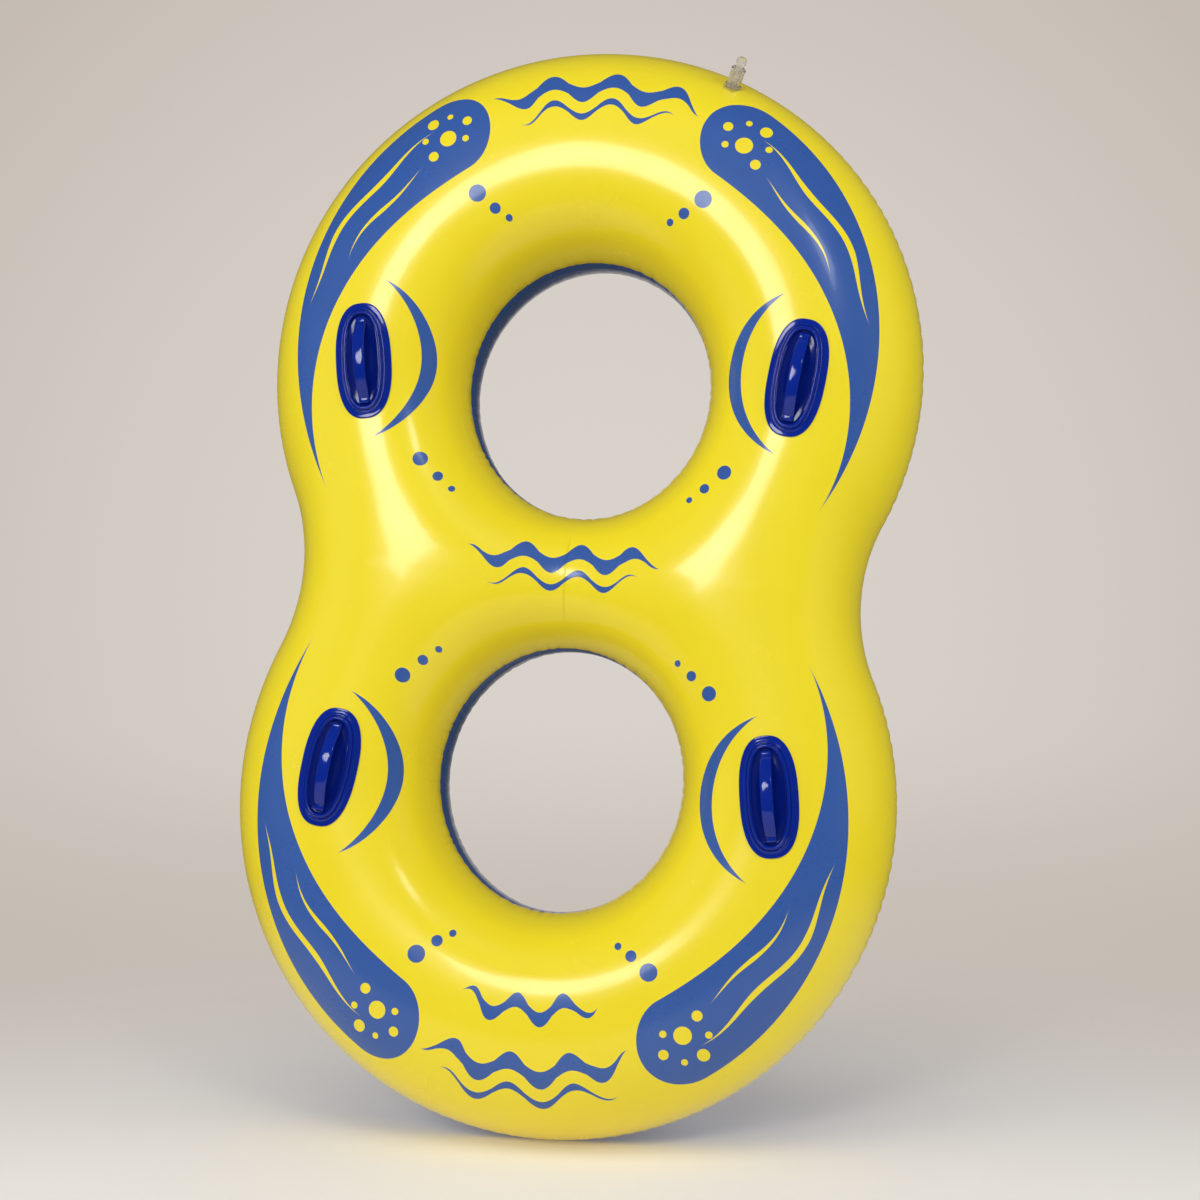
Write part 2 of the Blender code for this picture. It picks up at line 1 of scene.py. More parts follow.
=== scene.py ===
# %% [markdown]
# # A figure-eight pool float
#
# The float is two sheets of soft vinyl, welded together round the outside and round both seats,
# and blown up. The upper sheet is yellow with a blue print, the lower one is blue. Four handles
# are welded onto the yellow sheet, and a filling valve stands in the side of one ring.
#
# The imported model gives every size. Its skins and handles are plain, so finer ones are made
# here from the same rules, in the same place.

import json
import math

import bpy
import numpy as np
from mathutils import Matrix, Vector


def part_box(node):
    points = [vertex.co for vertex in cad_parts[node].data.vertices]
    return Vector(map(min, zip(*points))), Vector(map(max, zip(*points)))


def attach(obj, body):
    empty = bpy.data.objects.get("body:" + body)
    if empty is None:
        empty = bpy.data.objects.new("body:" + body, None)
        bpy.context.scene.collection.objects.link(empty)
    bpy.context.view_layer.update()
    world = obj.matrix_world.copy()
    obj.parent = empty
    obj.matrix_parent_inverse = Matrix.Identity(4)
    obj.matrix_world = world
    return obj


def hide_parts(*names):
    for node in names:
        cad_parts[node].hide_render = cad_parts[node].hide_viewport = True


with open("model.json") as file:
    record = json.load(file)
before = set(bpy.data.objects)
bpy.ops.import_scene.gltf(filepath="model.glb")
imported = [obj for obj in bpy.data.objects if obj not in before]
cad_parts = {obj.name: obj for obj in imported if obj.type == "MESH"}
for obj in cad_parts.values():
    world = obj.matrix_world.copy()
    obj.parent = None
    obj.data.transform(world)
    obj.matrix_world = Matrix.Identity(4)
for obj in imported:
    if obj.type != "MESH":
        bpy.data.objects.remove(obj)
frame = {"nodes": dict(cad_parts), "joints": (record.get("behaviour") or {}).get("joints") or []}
bpy.context.view_layer.update()
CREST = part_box("top_skin")[1].z

# %% [markdown]
# ## The flat outline
#
# Before it is blown up the float is a flat figure of eight: two discs joined by a hollow curve at
# the waist, each with an oval hole. One quarter of it is enough, since the other three mirror it.
# Lines run out from the hole like the ribs of a tyre: over the bar they end on its middle, and
# round the ring they cross the crest and go on to the welded edge. The two kinds part at one
# point, where the bar opens into the waist. A grid that follows both edges keeps the welds clean,
# where a square grid would cut them into steps.

# %% Sizes of the outline, in metres
RING_RADIUS = 0.575
RING_OFFSET = 0.377
WAIST_FILLET = 0.320
HOLE_HALF_WIDTH = 0.209
HOLE_HALF_LENGTH = 0.224
HOLE_OFFSET = 0.341

FILLET_X = math.sqrt((RING_RADIUS + WAIST_FILLET) ** 2 - RING_OFFSET ** 2)
WAIST_HALF = FILLET_X - WAIST_FILLET
TUBE_RADIUS = (RING_RADIUS - HOLE_HALF_WIDTH) / 2
print(f"waist {2 * WAIST_HALF:.3f} m wide, tube about {2 * TUBE_RADIUS:.3f} m across")

# %% Ribs from the hole to the crest and on to the edge
BAR_RIBS = 50
RING_RIBS = 280
RIBS = BAR_RIBS + RING_RIBS + 1
PARTING_X = 0.345
EASED_RIBS = 98
FINE = 4000


def eased(t):
    """Three t squared less two t cubed: a step from nought to one, level at both ends. It takes
    arrays, and further down the values of shader nodes too."""
    return t * t * (t * -2.0 + 3.0)


def even_steps(x, y, count):
    """Points at even distances along a finely drawn curve."""
    walked = np.concatenate([[0], np.cumsum(np.hypot(np.diff(x), np.diff(y)))])
    place = np.linspace(0, walked[-1], count + 1)
    return np.stack([np.interp(place, walked, x), np.interp(place, walked, y)], 1)


def hole_edge():
    """Half of the oval hole's edge, from the bar to the far end."""
    turn = np.linspace(-math.pi / 2, math.pi / 2, FINE)
    return even_steps(HOLE_HALF_WIDTH * np.cos(turn), HOLE_OFFSET + HOLE_HALF_LENGTH * np.sin(turn), RIBS - 1)


def outer_edge():
    """The outline from the waist to the far end: the hollow curve and then the ring's arc."""
    bend = math.asin(RING_OFFSET / (RING_RADIUS + WAIST_FILLET))
    hollow, arc = np.linspace(0, bend, FINE // 4), np.linspace(-bend, math.pi / 2, FINE)[1:]
    x = np.concatenate([FILLET_X - WAIST_FILLET * np.cos(hollow), RING_RADIUS * np.cos(arc)])
    y = np.concatenate([WAIST_FILLET * np.sin(hollow), RING_OFFSET + RING_RADIUS * np.sin(arc)])
    return even_steps(x, y, RING_RIBS)


def crest_points(hole, edge):
    """Half way between hole and edge round the ring. Towards the bar they are drawn down, by a
    smooth step, to the point on its middle where the two kinds of rib part."""
    middle = (hole[BAR_RIBS:] + edge) / 2
    share = np.clip(np.arange(RING_RIBS + 1) / EASED_RIBS, 0, 1)[:, None]
    pull = np.array([PARTING_X, 0.0]) - middle[0]
    ring = middle + pull * (1 - eased(share))
    bar = np.stack([np.linspace(0, PARTING_X, BAR_RIBS + 1), np.zeros(BAR_RIBS + 1)], 1)
    return np.concatenate([bar[:-1], ring])


HOLE_EDGE, OUTER_EDGE = hole_edge(), outer_edge()
CREST_LINE = crest_points(HOLE_EDGE, OUTER_EDGE)
apart = np.linalg.norm(OUTER_EDGE[1] - OUTER_EDGE[0])
print(f"{RIBS} ribs in a quarter, at the edge {apart * 1000:.2f} mm apart")

# %% [markdown]
# ## How high the air lifts the skin
#
# A stretched skin with even pressure under it settles where its bending down is the same
# everywhere. That is the equation of a soap film over the outline, and it is solved here on the
# grid of ribs: each triangle adds its stiffness, the welded edges are held down, and the sum is
# solved rib by rib. A long strip under this rule gives u = (r squared - d squared) / 2, so the
# height sqrt(2 u) is a half circle, which is the shape of a blown-up tube. Cloth simulation would
# reach nearly the same form, but slowly, and never so evenly that a gloss finish looks clean.

# %% Solving for the skin
INNER_STATIONS = 24
OUTER_STATIONS = 22
CREST_FULLNESS = 1.07
CREST_SHARPNESS = 10


def plan_grid():
    """Stations on each rib, crowding towards the welded edges as one minus a cosine does. A bar
    rib has none past the crest, and repeats its last one there."""
    s = (1 - np.cos(math.pi / 2 * np.linspace(0, 1, INNER_STATIONS + 1)))[None, :, None]
    inner = HOLE_EDGE[:, None] + (CREST_LINE - HOLE_EDGE)[:, None] * s
    s = np.sin(math.pi / 2 * np.linspace(0, 1, OUTER_STATIONS + 1))[None, 1:, None]
    crest = CREST_LINE[BAR_RIBS:, None]
    outer = crest + (OUTER_EDGE[:, None] - crest) * s
    repeated = np.repeat(CREST_LINE[:BAR_RIBS, None], OUTER_STATIONS, 1)
    grid = np.concatenate([inner, np.concatenate([repeated, outer])], 1)
    return grid[..., 0], grid[..., 1]


def triangle_sums(x, y, real):
    """Stiffness between every two stations of one rib or of neighbouring ribs, and the load on
    each. A triangle's stiffness is its edges' products over four times its area, and its load a
    third of its area at each corner. Each quad is cut both ways, and each way counts half."""
    count = x.shape[1]
    number = np.arange(x.size).reshape(x.shape)
    a, b, c, d = (n[real] for n in (number[:-1, :-1], number[1:, :-1], number[1:, 1:], number[:-1, 1:]))
    corners = np.concatenate([np.stack(t, 1) for t in ((a, b, c), (a, c, d), (a, b, d), (b, c, d))])
    points = np.stack([x.ravel(), y.ravel()], 1)[corners]
    edges = np.stack([points[:, 2] - points[:, 1], points[:, 0] - points[:, 2],
                      points[:, 1] - points[:, 0]], 1)
    doubled = np.abs(edges[:, 2, 0] * edges[:, 1, 1] - edges[:, 2, 1] * edges[:, 1, 0]) + 1e-12
    stiff = np.einsum("tid,tjd->tij", edges, edges) / (4 * doubled)[:, None, None]
    load = np.bincount(corners.ravel(), np.repeat(doubled / 12, 3), x.size).reshape(x.shape)
    row = np.repeat(corners, 3, 1).ravel()
    column = np.tile(corners, (1, 3)).ravel()
    side = column // count - row // count + 1
    place = (row * 3 + side) * count + column % count
    sums = np.bincount(place, stiff.ravel(), x.size * 3 * count)
    return sums.reshape(x.shape[0], count, 3, count), load


def taut_skin(x, y, real, held):
    """Deflection of the skin: elimination from the first rib to the last, then back again."""
    sums, load = triangle_sums(x, y, real)
    before, own, after = (sums[:, :, k].copy() for k in range(3))
    loose = ~held
    own *= loose[:, :, None] & loose[:, None, :]
    own += np.eye(x.shape[1])[None] * held[:, :, None]
    after[:-1] *= loose[:-1, :, None] & loose[1:, None, :]
    before[1:] *= loose[1:, :, None] & loose[:-1, None, :]
    load = load * loose
    for k in range(1, len(x)):
        factor = np.linalg.solve(own[k - 1].T, before[k].T).T
        own[k] -= factor @ after[k - 1]
        load[k] -= factor @ load[k - 1]
    lift = np.zeros_like(load)
    lift[-1] = np.linalg.solve(own[-1], load[-1])
    for k in range(len(x) - 2, -1, -1):
        lift[k] = np.linalg.solve(own[k], load[k] - after[k] @ lift[k + 1])
    return lift


PLAN_X, PLAN_Y = plan_grid()
STATIONS = INNER_STATIONS + OUTER_STATIONS
REAL = (np.arange(RIBS - 1)[:, None] >= BAR_RIBS) | (np.arange(STATIONS)[None] < INNER_STATIONS)
HELD = np.zeros(PLAN_X.shape, bool)
HELD[:, 0] = True
HELD[BAR_RIBS:, -1] = True
HELD[:BAR_RIBS, INNER_STATIONS + 1:] = True
HEIGHT = np.sqrt(2 * np.maximum(taut_skin(PLAN_X, PLAN_Y, REAL, HELD), 0))
limit = CREST_FULLNESS * TUBE_RADIUS
HEIGHT = HEIGHT / (1 + (HEIGHT / limit) ** CREST_SHARPNESS) ** (1 / CREST_SHARPNESS)
REST = CREST - HEIGHT.max()
print(f"ring crest {HEIGHT[BAR_RIBS:].max(1).min():.4f} to {HEIGHT.max():.4f} m above the middle, "
      f"bar crest {HEIGHT[0].max():.4f} m, middle {REST:.4f} m above the ground")

# %% [markdown]
# ## Points on the blown-up skin
#
# A seam lies at a measured distance along the skin from the inner or outer edge, so points are
# asked for by arc length: nought at the edge, more going up towards the crest, less going down
# round the back, which is the same shape turned over.

# %% Arc length to a place
LANE = 10.0


class Flank:
    """The skin from one welded edge up to the crest line, on each of its ribs."""

    def __init__(self, x, y, height):
        self.values = np.stack([x, y, height])
        self.step = np.sqrt((np.diff(self.values) ** 2).sum(0))
        self.arc = np.concatenate([np.zeros((len(x), 1)), np.cumsum(self.step, 1)], 1)
        self.total = self.arc[:, -1]
        secant = np.diff(self.values) / self.step
        self.slope = np.empty_like(self.values)
        weighted = secant[..., :-1] * self.step[:, 1:] + secant[..., 1:] * self.step[:, :-1]
        self.slope[..., 1:-1] = weighted / (self.step[:, 1:] + self.step[:, :-1])
        self.slope[..., 0] = 2 * secant[..., 0] - self.slope[..., 1]
        self.slope[..., -1] = 2 * secant[..., -1] - self.slope[..., -2]

    def at(self, arc):
        """Points for arc lengths, ribs by rows: a cubic between two stations whose slopes are the
        weighted mean of the steps on either side. A negative arc is on the lower side. Each rib's
        lengths are moved into a lane of their own, so that one sorted search serves them all."""
        size = np.minimum(np.abs(arc), self.total[:, None])
        rib = np.arange(len(arc))[:, None]
        lane = rib * LANE
        first = np.searchsorted((self.arc + lane).ravel(), (size + lane).ravel(), side="right")
        first = np.clip(first.reshape(arc.shape) - 1 - rib * self.arc.shape[1], 0, self.arc.shape[1] - 2)
        width = self.step[rib, first]
        t = (size - self.arc[rib, first]) / width
        low, high = self.values[:, rib, first], self.values[:, rib, first + 1]
        start, end = self.slope[:, rib, first] * width, self.slope[:, rib, first + 1] * width
        spot = ((2 * t ** 3 - 3 * t ** 2 + 1) * low + (t ** 3 - 2 * t ** 2 + t) * start
                + (3 * t ** 2 - 2 * t ** 3) * high + (t ** 3 - t ** 2) * end)
        spot[2] = np.maximum(spot[2], 0) * np.where(arc < 0, -1.0, 1.0)
        return np.moveaxis(spot, 0, -1)


INNER = Flank(*(v[:, :INNER_STATIONS + 1] for v in (PLAN_X, PLAN_Y, HEIGHT)))
OUTER = Flank(*(v[BAR_RIBS:, :INNER_STATIONS - 1:-1] for v in (PLAN_X, PLAN_Y, HEIGHT)))


def quarter_points(inner_arc, outer_arc):
    """Ribs by rows: the inner flank up to the crest and then the outer one down to the edge. A
    bar rib repeats its crest point, and points in a mirror plane are put exactly there."""
    inner, outer = INNER.at(inner_arc), OUTER.at(outer_arc)
    inner[:BAR_RIBS + 1, -1, 1] = 0.0
    outer[0, :, 1] = 0.0
    repeated = np.repeat(inner[:BAR_RIBS, -1:], outer.shape[1] - 1, 1)
    points = np.concatenate([inner, np.concatenate([repeated, outer[:, 1:]])], 1)
    points[[0, -1], :, 0] = 0.0
    return points


# %% One mesh out of four mirrored quarters
def grid_faces(inner_rows, rows):
    """Quads between neighbouring ribs and rows, as index numbers. Past the crest row only the
    ring's ribs have them."""
    number = np.arange(RIBS * rows).reshape(RIBS, rows)
    real = (np.arange(RIBS - 1)[:, None] >= BAR_RIBS) | (np.arange(rows - 1)[None] < inner_rows - 1)
    corners = (number[:-1, :-1], number[:-1, 1:], number[1:, 1:], number[1:, :-1])
    return np.stack([c[real] for c in corners], 1)


def four_quarters(points, faces):
    """Mirrors points and faces over x and y and welds what meets, by rounding to a hundredth of a
    millimetre. A quarter mirrored once has its faces turned over. Faces that closed up are
    dropped."""
    sheets, parts = [], []
    for i, (side_x, side_y) in enumerate(((1, 1), (-1, 1), (-1, -1), (1, -1))):
        sheets.append(points * np.array([side_x, side_y, 1.0]))
        parts.append((faces if side_x * side_y > 0 else faces[:, ::-1]) + i * len(points))
    sheets, parts = np.concatenate(sheets), np.concatenate(parts)
    kept, first, joined = np.unique(np.round(sheets * 1e5).astype(np.int64), axis=0,
                                    return_index=True, return_inverse=True)
    welded = joined.reshape(-1)[parts]
    apart = np.all(np.sort(welded, 1)[:, 1:] != np.sort(welded, 1)[:, :-1], 1)
    return sheets[first], welded[apart]


def point_normals(points, faces):
    """Mean of the normals of the faces round each point, weighted by their size."""
    a, b, c, d = (points[faces[:, k]] for k in range(4))
    normal = np.cross(c - a, d - b)
    total = np.stack([np.bincount(faces.ravel(), np.repeat(normal[:, k], 4), len(points))
                      for k in range(3)], 1)
    return total / np.linalg.norm(total, axis=1, keepdims=True)


def mesh_object(name, points, faces, finish, sharp=None):
    """Puts whole arrays of points and faces into a new mesh with smooth shading."""
    mesh = bpy.data.meshes.new(name)
    mesh.from_pydata(points.tolist(), [], faces.tolist() if hasattr(faces, "tolist") else faces)
    mesh.materials.append(finish)
    mesh.shade_smooth()
    if sharp:
        mesh.set_sharp_from_angle(angle=math.radians(sharp))
    made = bpy.data.objects.new(name, mesh)
    bpy.context.scene.collection.objects.link(made)
    return made


# %% [markdown]
# ## Puckers along the welds
#
# A flat sheet can't bend both ways at once, so the welded edge of a blown-up ring is too long for
# its place and gathers into short creases across the seam. They are in the mesh and not only in
# the shading, because they notch the outline of the float. Each crease is a narrow valley between
# rounded swells, and dies out a few centimetres from the weld. At the waist the edge bends the
# other way, so there the weld is pulled taut and stays nearly smooth.

# %% Distance to the welds
INNER_SEAM_RISE = 0.040
OUTER_SEAM_DROP = 0.006


def outline_place(x, y):
    """How far a plan point lies inside the outline, and where along the whole outline, in metres,
    its nearest point is. The waist curve comes first and then the ring's arc, out and back."""
    across, up = np.abs(x), np.abs(y)
    on_fillet = up * FILLET_X < RING_OFFSET * (FILLET_X - across)
    from_fillet = np.hypot(across - FILLET_X, up)
    from_ring = np.hypot(across, up - RING_OFFSET)
    deep = np.where(on_fillet, from_fillet - WAIST_FILLET, RING_RADIUS - from_ring)
    bend = math.asin(RING_OFFSET / (RING_RADIUS + WAIST_FILLET))
    walk = np.where(on_fillet, WAIST_FILLET * np.arctan2(up, FILLET_X - across),
                    WAIST_FILLET * bend + RING_RADIUS * (np.arctan2(up - RING_OFFSET, across) + bend))
    quarter = WAIST_FILLET * bend + RING_RADIUS * (math.pi / 2 + bend)
    walk = np.where(x < 0, 2 * quarter - walk, walk)
    return deep, np.where(y < 0, 4 * quarter - walk, walk), 4 * quarter


def tube_arc(deep):
    """The way up a round tube's side to a point that lies so far inside its edge in the plan."""
    return TUBE_RADIUS * np.arccos(np.clip(1 - deep / TUBE_RADIUS, -1, 1))


outline_length = outline_place(np.zeros(1), np.ones(1))[2]
print(f"the outline is {outline_length:.3f} m long")


# %% The pucker height
OUTER_PITCH, OUTER_DEPTH, OUTER_REACH, OUTER_SEED = 0.0245, 0.0040, 0.021, 0.7
HOLE_PITCH, HOLE_DEPTH, HOLE_REACH, HOLE_SEEDS = 0.022, 0.0022, 0.016, (3.1, 1.9)
FADE_POWER, VALLEY_POWER, VALLEY_LEVEL = 1.4, 0.7, 0.62
TAUT_REACH, TAUT_EASE, TAUT_SHARE = 0.11, 0.11, 0.12
WANDER = ((1.1, 5, 1.0), (0.7, 13, 2.3), (0.4, 29, 1.0))
STRENGTH_LEVEL, STRENGTH = 0.62, ((0.24, 7, 1.7), (0.14, 17, -1.0))


def waves(turn, seed, terms, level):
    """A level and a sum of sines. A term is its height, how often it fits into a turn, and how
    far the seed shifts it."""
    return sum((height * np.sin(times * turn + shift * seed) for height, times, shift in terms), level)


def creases(place, length, pitch, seed):
    """The size of a cosine to a power below one, less a level: rounded swells with narrow valleys.
    Its phase wanders, and its strength comes and goes, with waves that fit a whole number of
    times into the length."""
    turn = 2 * math.pi * place / length
    count = round(length / pitch)
    valley = np.abs(np.cos(count / 2 * turn + waves(turn, seed, WANDER, 0.0))) ** VALLEY_POWER
    return (valley - VALLEY_LEVEL) * waves(turn, seed, STRENGTH, STRENGTH_LEVEL)


def faded(way, reach):
    """One at nought, falling like a bell over the reach."""
    return np.exp(-(way / reach) ** FADE_POWER)


def pucker(points):
    """Height of the puckers over each point, along its normal."""
    x, y = points[:, 0], points[:, 1]
    deep, walk, whole = outline_place(x, y)
    slack = TAUT_SHARE + (1 - TAUT_SHARE) * eased(np.clip((np.abs(y) - TAUT_REACH) / TAUT_EASE, 0, 1))
    outer = slack * OUTER_DEPTH * creases(walk, whole, OUTER_PITCH, OUTER_SEED)
    across, along = x / HOLE_HALF_WIDTH, (np.abs(y) - HOLE_OFFSET) / HOLE_HALF_LENGTH
    round_hole = math.pi * (HOLE_HALF_WIDTH + HOLE_HALF_LENGTH)
    place = (np.arctan2(along, across) / (2 * math.pi) + 0.5) * round_hole
    inner = HOLE_DEPTH * creases(place, round_hole, HOLE_PITCH, np.where(y < 0, *HOLE_SEEDS))
    rise = np.abs(tube_arc((np.hypot(along, across) - 1) * HOLE_HALF_WIDTH) - INNER_SEAM_RISE)
    return outer * faded(tube_arc(deep), OUTER_REACH) + inner * faded(rise, HOLE_REACH)


print("puckers round the outside:", round(outline_length / OUTER_PITCH))


# %% [markdown]
# ## Camera, seen as in the photograph
#
# The float stands on the edge of its lower ring and leans back a little, and it is turned a few
# degrees to the left. The numbers were fitted to the outline of the float in the picture, where
# the ring's radius is the unit. The part lies flat in its own frame, so here the camera turns
# instead of the float.

# %% The camera
YAW, PITCH, ROLL = (math.radians(a) for a in (-10.0, -6.0, -4.22))
AIM_X, AIM_Y, DISTANCE = (RING_RADIUS * radii for radii in (-0.0625, 0.0415, 7.69))
RADIUS_PIXELS, FRAME_PIXELS, SENSOR = 328.7, 1200, 36.0
MIDDLE = Vector((0.0, 0.0, 0.1727))
VIEW = (Matrix.Rotation(ROLL, 3, "Z") @ Matrix.Rotation(PITCH, 3, "X") @ Matrix.Rotation(YAW, 3, "Y")).transposed()

camera = bpy.data.objects.new("camera", bpy.data.cameras.new("camera"))
bpy.context.scene.collection.objects.link(camera)
camera.matrix_world = Matrix.Translation(VIEW @ Vector((-AIM_X, -AIM_Y, DISTANCE)) + MIDDLE) @ VIEW.to_4x4()
camera.data.sensor_fit = "HORIZONTAL"
camera.data.sensor_width = SENSOR
camera.data.lens = SENSOR * RADIUS_PIXELS / FRAME_PIXELS * DISTANCE / RING_RADIUS
bpy.context.scene.camera = camera
print("camera at", tuple(round(v, 3) for v in camera.location), "lens", round(camera.data.lens, 1), "mm")

# %% [markdown]
# ## Writing a pattern as arithmetic
#
# Every finish below is worked out by shader nodes, so it has no picture files and stays sharp at
# any distance. A chain of Math nodes is hard to read when each one is made by hand. The small
# class here lets a value over the surface be added, multiplied and compared like a number, and
# makes the nodes as it goes. It reads Object coordinates, which are metres in the float's own
# frame, so a pattern stays where it is printed.

# %% A value over the surface
class Field:
    """A socket that can be reckoned with. Each step adds one Math node to the socket's tree."""

    def __init__(self, socket):
        self.socket, self.tree = socket, socket.id_data

    def math(self, operation, *others):
        """One Math node of this value and the others, which are fields or numbers."""
        node = self.tree.nodes.new("ShaderNodeMath")
        node.operation = operation
        for place, value in zip(node.inputs, (self, *others)):
            if isinstance(value, Field):
                self.tree.links.new(value.socket, place)
            else:
                place.default_value = value
        return Field(node.outputs[0])

    def __add__(self, other):
        return self.math("ADD", other)

    def __sub__(self, other):
        return self.math("SUBTRACT", other)

    def __mul__(self, other):
        return self.math("MULTIPLY", other)

    def __neg__(self):
        return self.math("MULTIPLY", -1.0)

    def least(self, other):
        return self.math("MINIMUM", other)

    def most(self, other):
        return self.math("MAXIMUM", other)

    def wave(self, pitch):
        """A sine that comes round once in each pitch."""
        return (self * (2 * math.pi / pitch)).math("SINE")

    def size(self):
        return self.math("ABSOLUTE")

    def kept(self):
        """The value, kept between nought and one."""
        return self.least(1.0).most(0.0)


def length_of(a, b):
    """Square root of the sum of two squares."""
    return (a * a + b * b).math("SQRT")


def split(vector):
    """x, y and z of a vector."""
    node = vector.tree.nodes.new("ShaderNodeSeparateXYZ")
    vector.tree.links.new(vector.socket, node.inputs[0])
    return [Field(socket) for socket in node.outputs]


def noise(place, scale, detail=2.0, rough=0.5):
    """Soft noise about nought, from about minus a half to a half. Scale is cells to the metre."""
    node = place.tree.nodes.new("ShaderNodeTexNoise")
    node.inputs["Scale"].default_value = scale
    node.inputs["Detail"].default_value = detail
    node.inputs["Roughness"].default_value = rough
    place.tree.links.new(place.socket, node.inputs["Vector"])
    return Field(node.outputs["Fac"]) - 0.5


def layers(place, terms):
    """A sum of noises. A term is what the noise takes, and last its strength."""
    first, *others = (noise(place, *shape) * strength for *shape, strength in terms)
    for other in others:
        first = first + other
    return first


# %% Groups of nodes, and what feeds them
def feed(node, **values):
    """Links each field to the input that has its name."""
    for label, value in values.items():
        node.id_data.links.new(value.socket, node.inputs[label.replace("_", " ")])


def node_group(name, numbers, outputs):
    """An empty group that takes a position and some numbers, each with a value to start from."""
    tree = bpy.data.node_groups.new(name, "ShaderNodeTree")
    tree.interface.new_socket("Position", in_out="INPUT", socket_type="NodeSocketVector")
    for label, value in numbers.items():
        tree.interface.new_socket(label, in_out="INPUT", socket_type="NodeSocketFloat").default_value = value
    for label in outputs:
        tree.interface.new_socket(label, in_out="OUTPUT", socket_type="NodeSocketFloat")
    given = {socket.name: Field(socket) for socket in tree.nodes.new("NodeGroupInput").outputs if socket.name}
    return tree, given, tree.nodes.new("NodeGroupOutput")


def use_group(group, place, **values):
    """Places a group in a material and gives its outputs by name."""
    node = place.tree.nodes.new("ShaderNodeGroup")
    node.node_tree = group
    feed(node, Position=place)
    for label, value in values.items():
        node.inputs[label.replace("_", " ")].default_value = value
    return {socket.name: Field(socket) for socket in node.outputs}


# %% [markdown]
# ## Vinyl film, shared by all the sheets
#
# Calendered vinyl is smooth but not optically flat: it has a slow swim where the roll was uneven,
# a fine orange skin that softens reflections, and marks from folding and handling that show in
# the gloss before they show in the colour. One group gives all three as a height, a gloss and a
# tint, and each material takes them in its own strength.

# %% The film group
SWIM = ((9.0, 1.0, 0.0011), (31.0, 1.0, 0.00016))
GRAIN = ((420.0, 2.0, 0.000006), (1900.0, 1.0, 0.0000022))
GLOSS = ((5.0, 3.0, 0.16), (60.0, 3.0, 0.6, 0.07))
TINT = ((3.2, 2.0, 0.5), (24.0, 3.0, 0.18))
FILM_IOR, FILM_COAT, COAT_LOSS, COAT_ROUGHNESS = 1.42, 0.28, 1.2, 0.09


def make_film():
    """Every output is a sum of noises. The height adds a slow sum and a fine one, each as strong as
    the material asks."""
    tree, given, result = node_group("vinyl_film", {"Swim": 1.0, "Grain": 1.0}, ("Height", "Gloss", "Tint"))
    place = given["Position"]
    height = layers(place, SWIM) * given["Swim"] + layers(place, GRAIN) * given["Grain"]
    feed(result, Height=height, Gloss=layers(place, GLOSS), Tint=layers(place, TINT))
    return tree


FILM = make_film()
print("vinyl film:", len(FILM.nodes), "nodes")

# %% [markdown]
# ## Welds
#
# High-frequency welding presses the two sheets together between metal bars. The bar leaves a
# narrow band with a fine cross ribbing, flatter and deeper in colour than the film beside it, and
# small creases run out of it where the film was gathered. The bands run level round the float, so
# height above the ground finds them.

# %% The weld group
LAP = 0.010
OUTER_BAND_RISE, INNER_BAND_RISE = 0.0042, 0.0048
OUTER_WELD = REST - OUTER_SEAM_DROP + OUTER_BAND_RISE
INNER_WELD = REST + INNER_SEAM_RISE + INNER_BAND_RISE
WELD_DEPTH, WELD_SHARPNESS, RIBBING, RIB_PITCH = 0.00025, 1500.0, 0.00008, 0.0024
CREASE_PITCH, CREASE_REACH, CREASE_DEPTH, CREASE_POWER = 0.0128, 0.017, 0.0007, 4.0
CREASE_WANDER, CREASE_STRENGTH, CREASE_LEVEL = ((17.0, 1.0, 7.0),), ((23.0, 1.0, 3.0),), 0.55


def make_weld():
    """The band is where the height is within half its width of the level. A rib is a sine of the
    way round the ring, and a crease one minus the size of a wandering sine, to a power."""
    tree, given, result = node_group(
        "weld_band", {"Level": REST, "Half Width": 0.004, "Pitch": RIB_PITCH}, ("Height", "Band"))
    place = given["Position"]
    x, y, z = split(place)
    off = (z - given["Level"]).size()
    band = ((given["Half Width"] - off) * WELD_SHARPNESS + 0.5).kept()
    walk = x.math("ARCTAN2", y.size() - RING_OFFSET) * (2 * math.pi * RING_RADIUS)
    ribs = walk.math("DIVIDE", given["Pitch"]).math("SINE")
    fold = (walk * (1 / CREASE_PITCH) + layers(place, CREASE_WANDER)).math("SINE")
    strength = (layers(place, CREASE_STRENGTH) + CREASE_LEVEL).kept()
    fade = (off * (-1.0 / CREASE_REACH) + 1.0).kept()
    crease = (fold.size() * -1.0 + 1.0).math("POWER", CREASE_POWER) * strength * fade * CREASE_DEPTH
    feed(result, Height=band * (ribs * RIBBING - WELD_DEPTH) - crease, Band=band)
    return tree


WELD = make_weld()
print("weld band:", len(WELD.nodes), "nodes")

# %% [markdown]
# ## The print
#
# The blue pattern is screen printed on the flat yellow sheet before it is cut, so it is drawn here
# in the plan of the float. It is a plain water pattern in one blue: a stroke with a broad, foaming
# end sweeps round the outside of each handle, a thin one passes on the inside, bubbles rise from
# them, and ribbons of waves lie across the bar and the two ends. A shape is the distance to its
# edge, less than nought inside, so the least of two distances joins shapes and the greatest cuts
# them. Mirroring is free: the pattern reads the size of x and of y, and only the waves at the two
# ends ask which ring they are on.

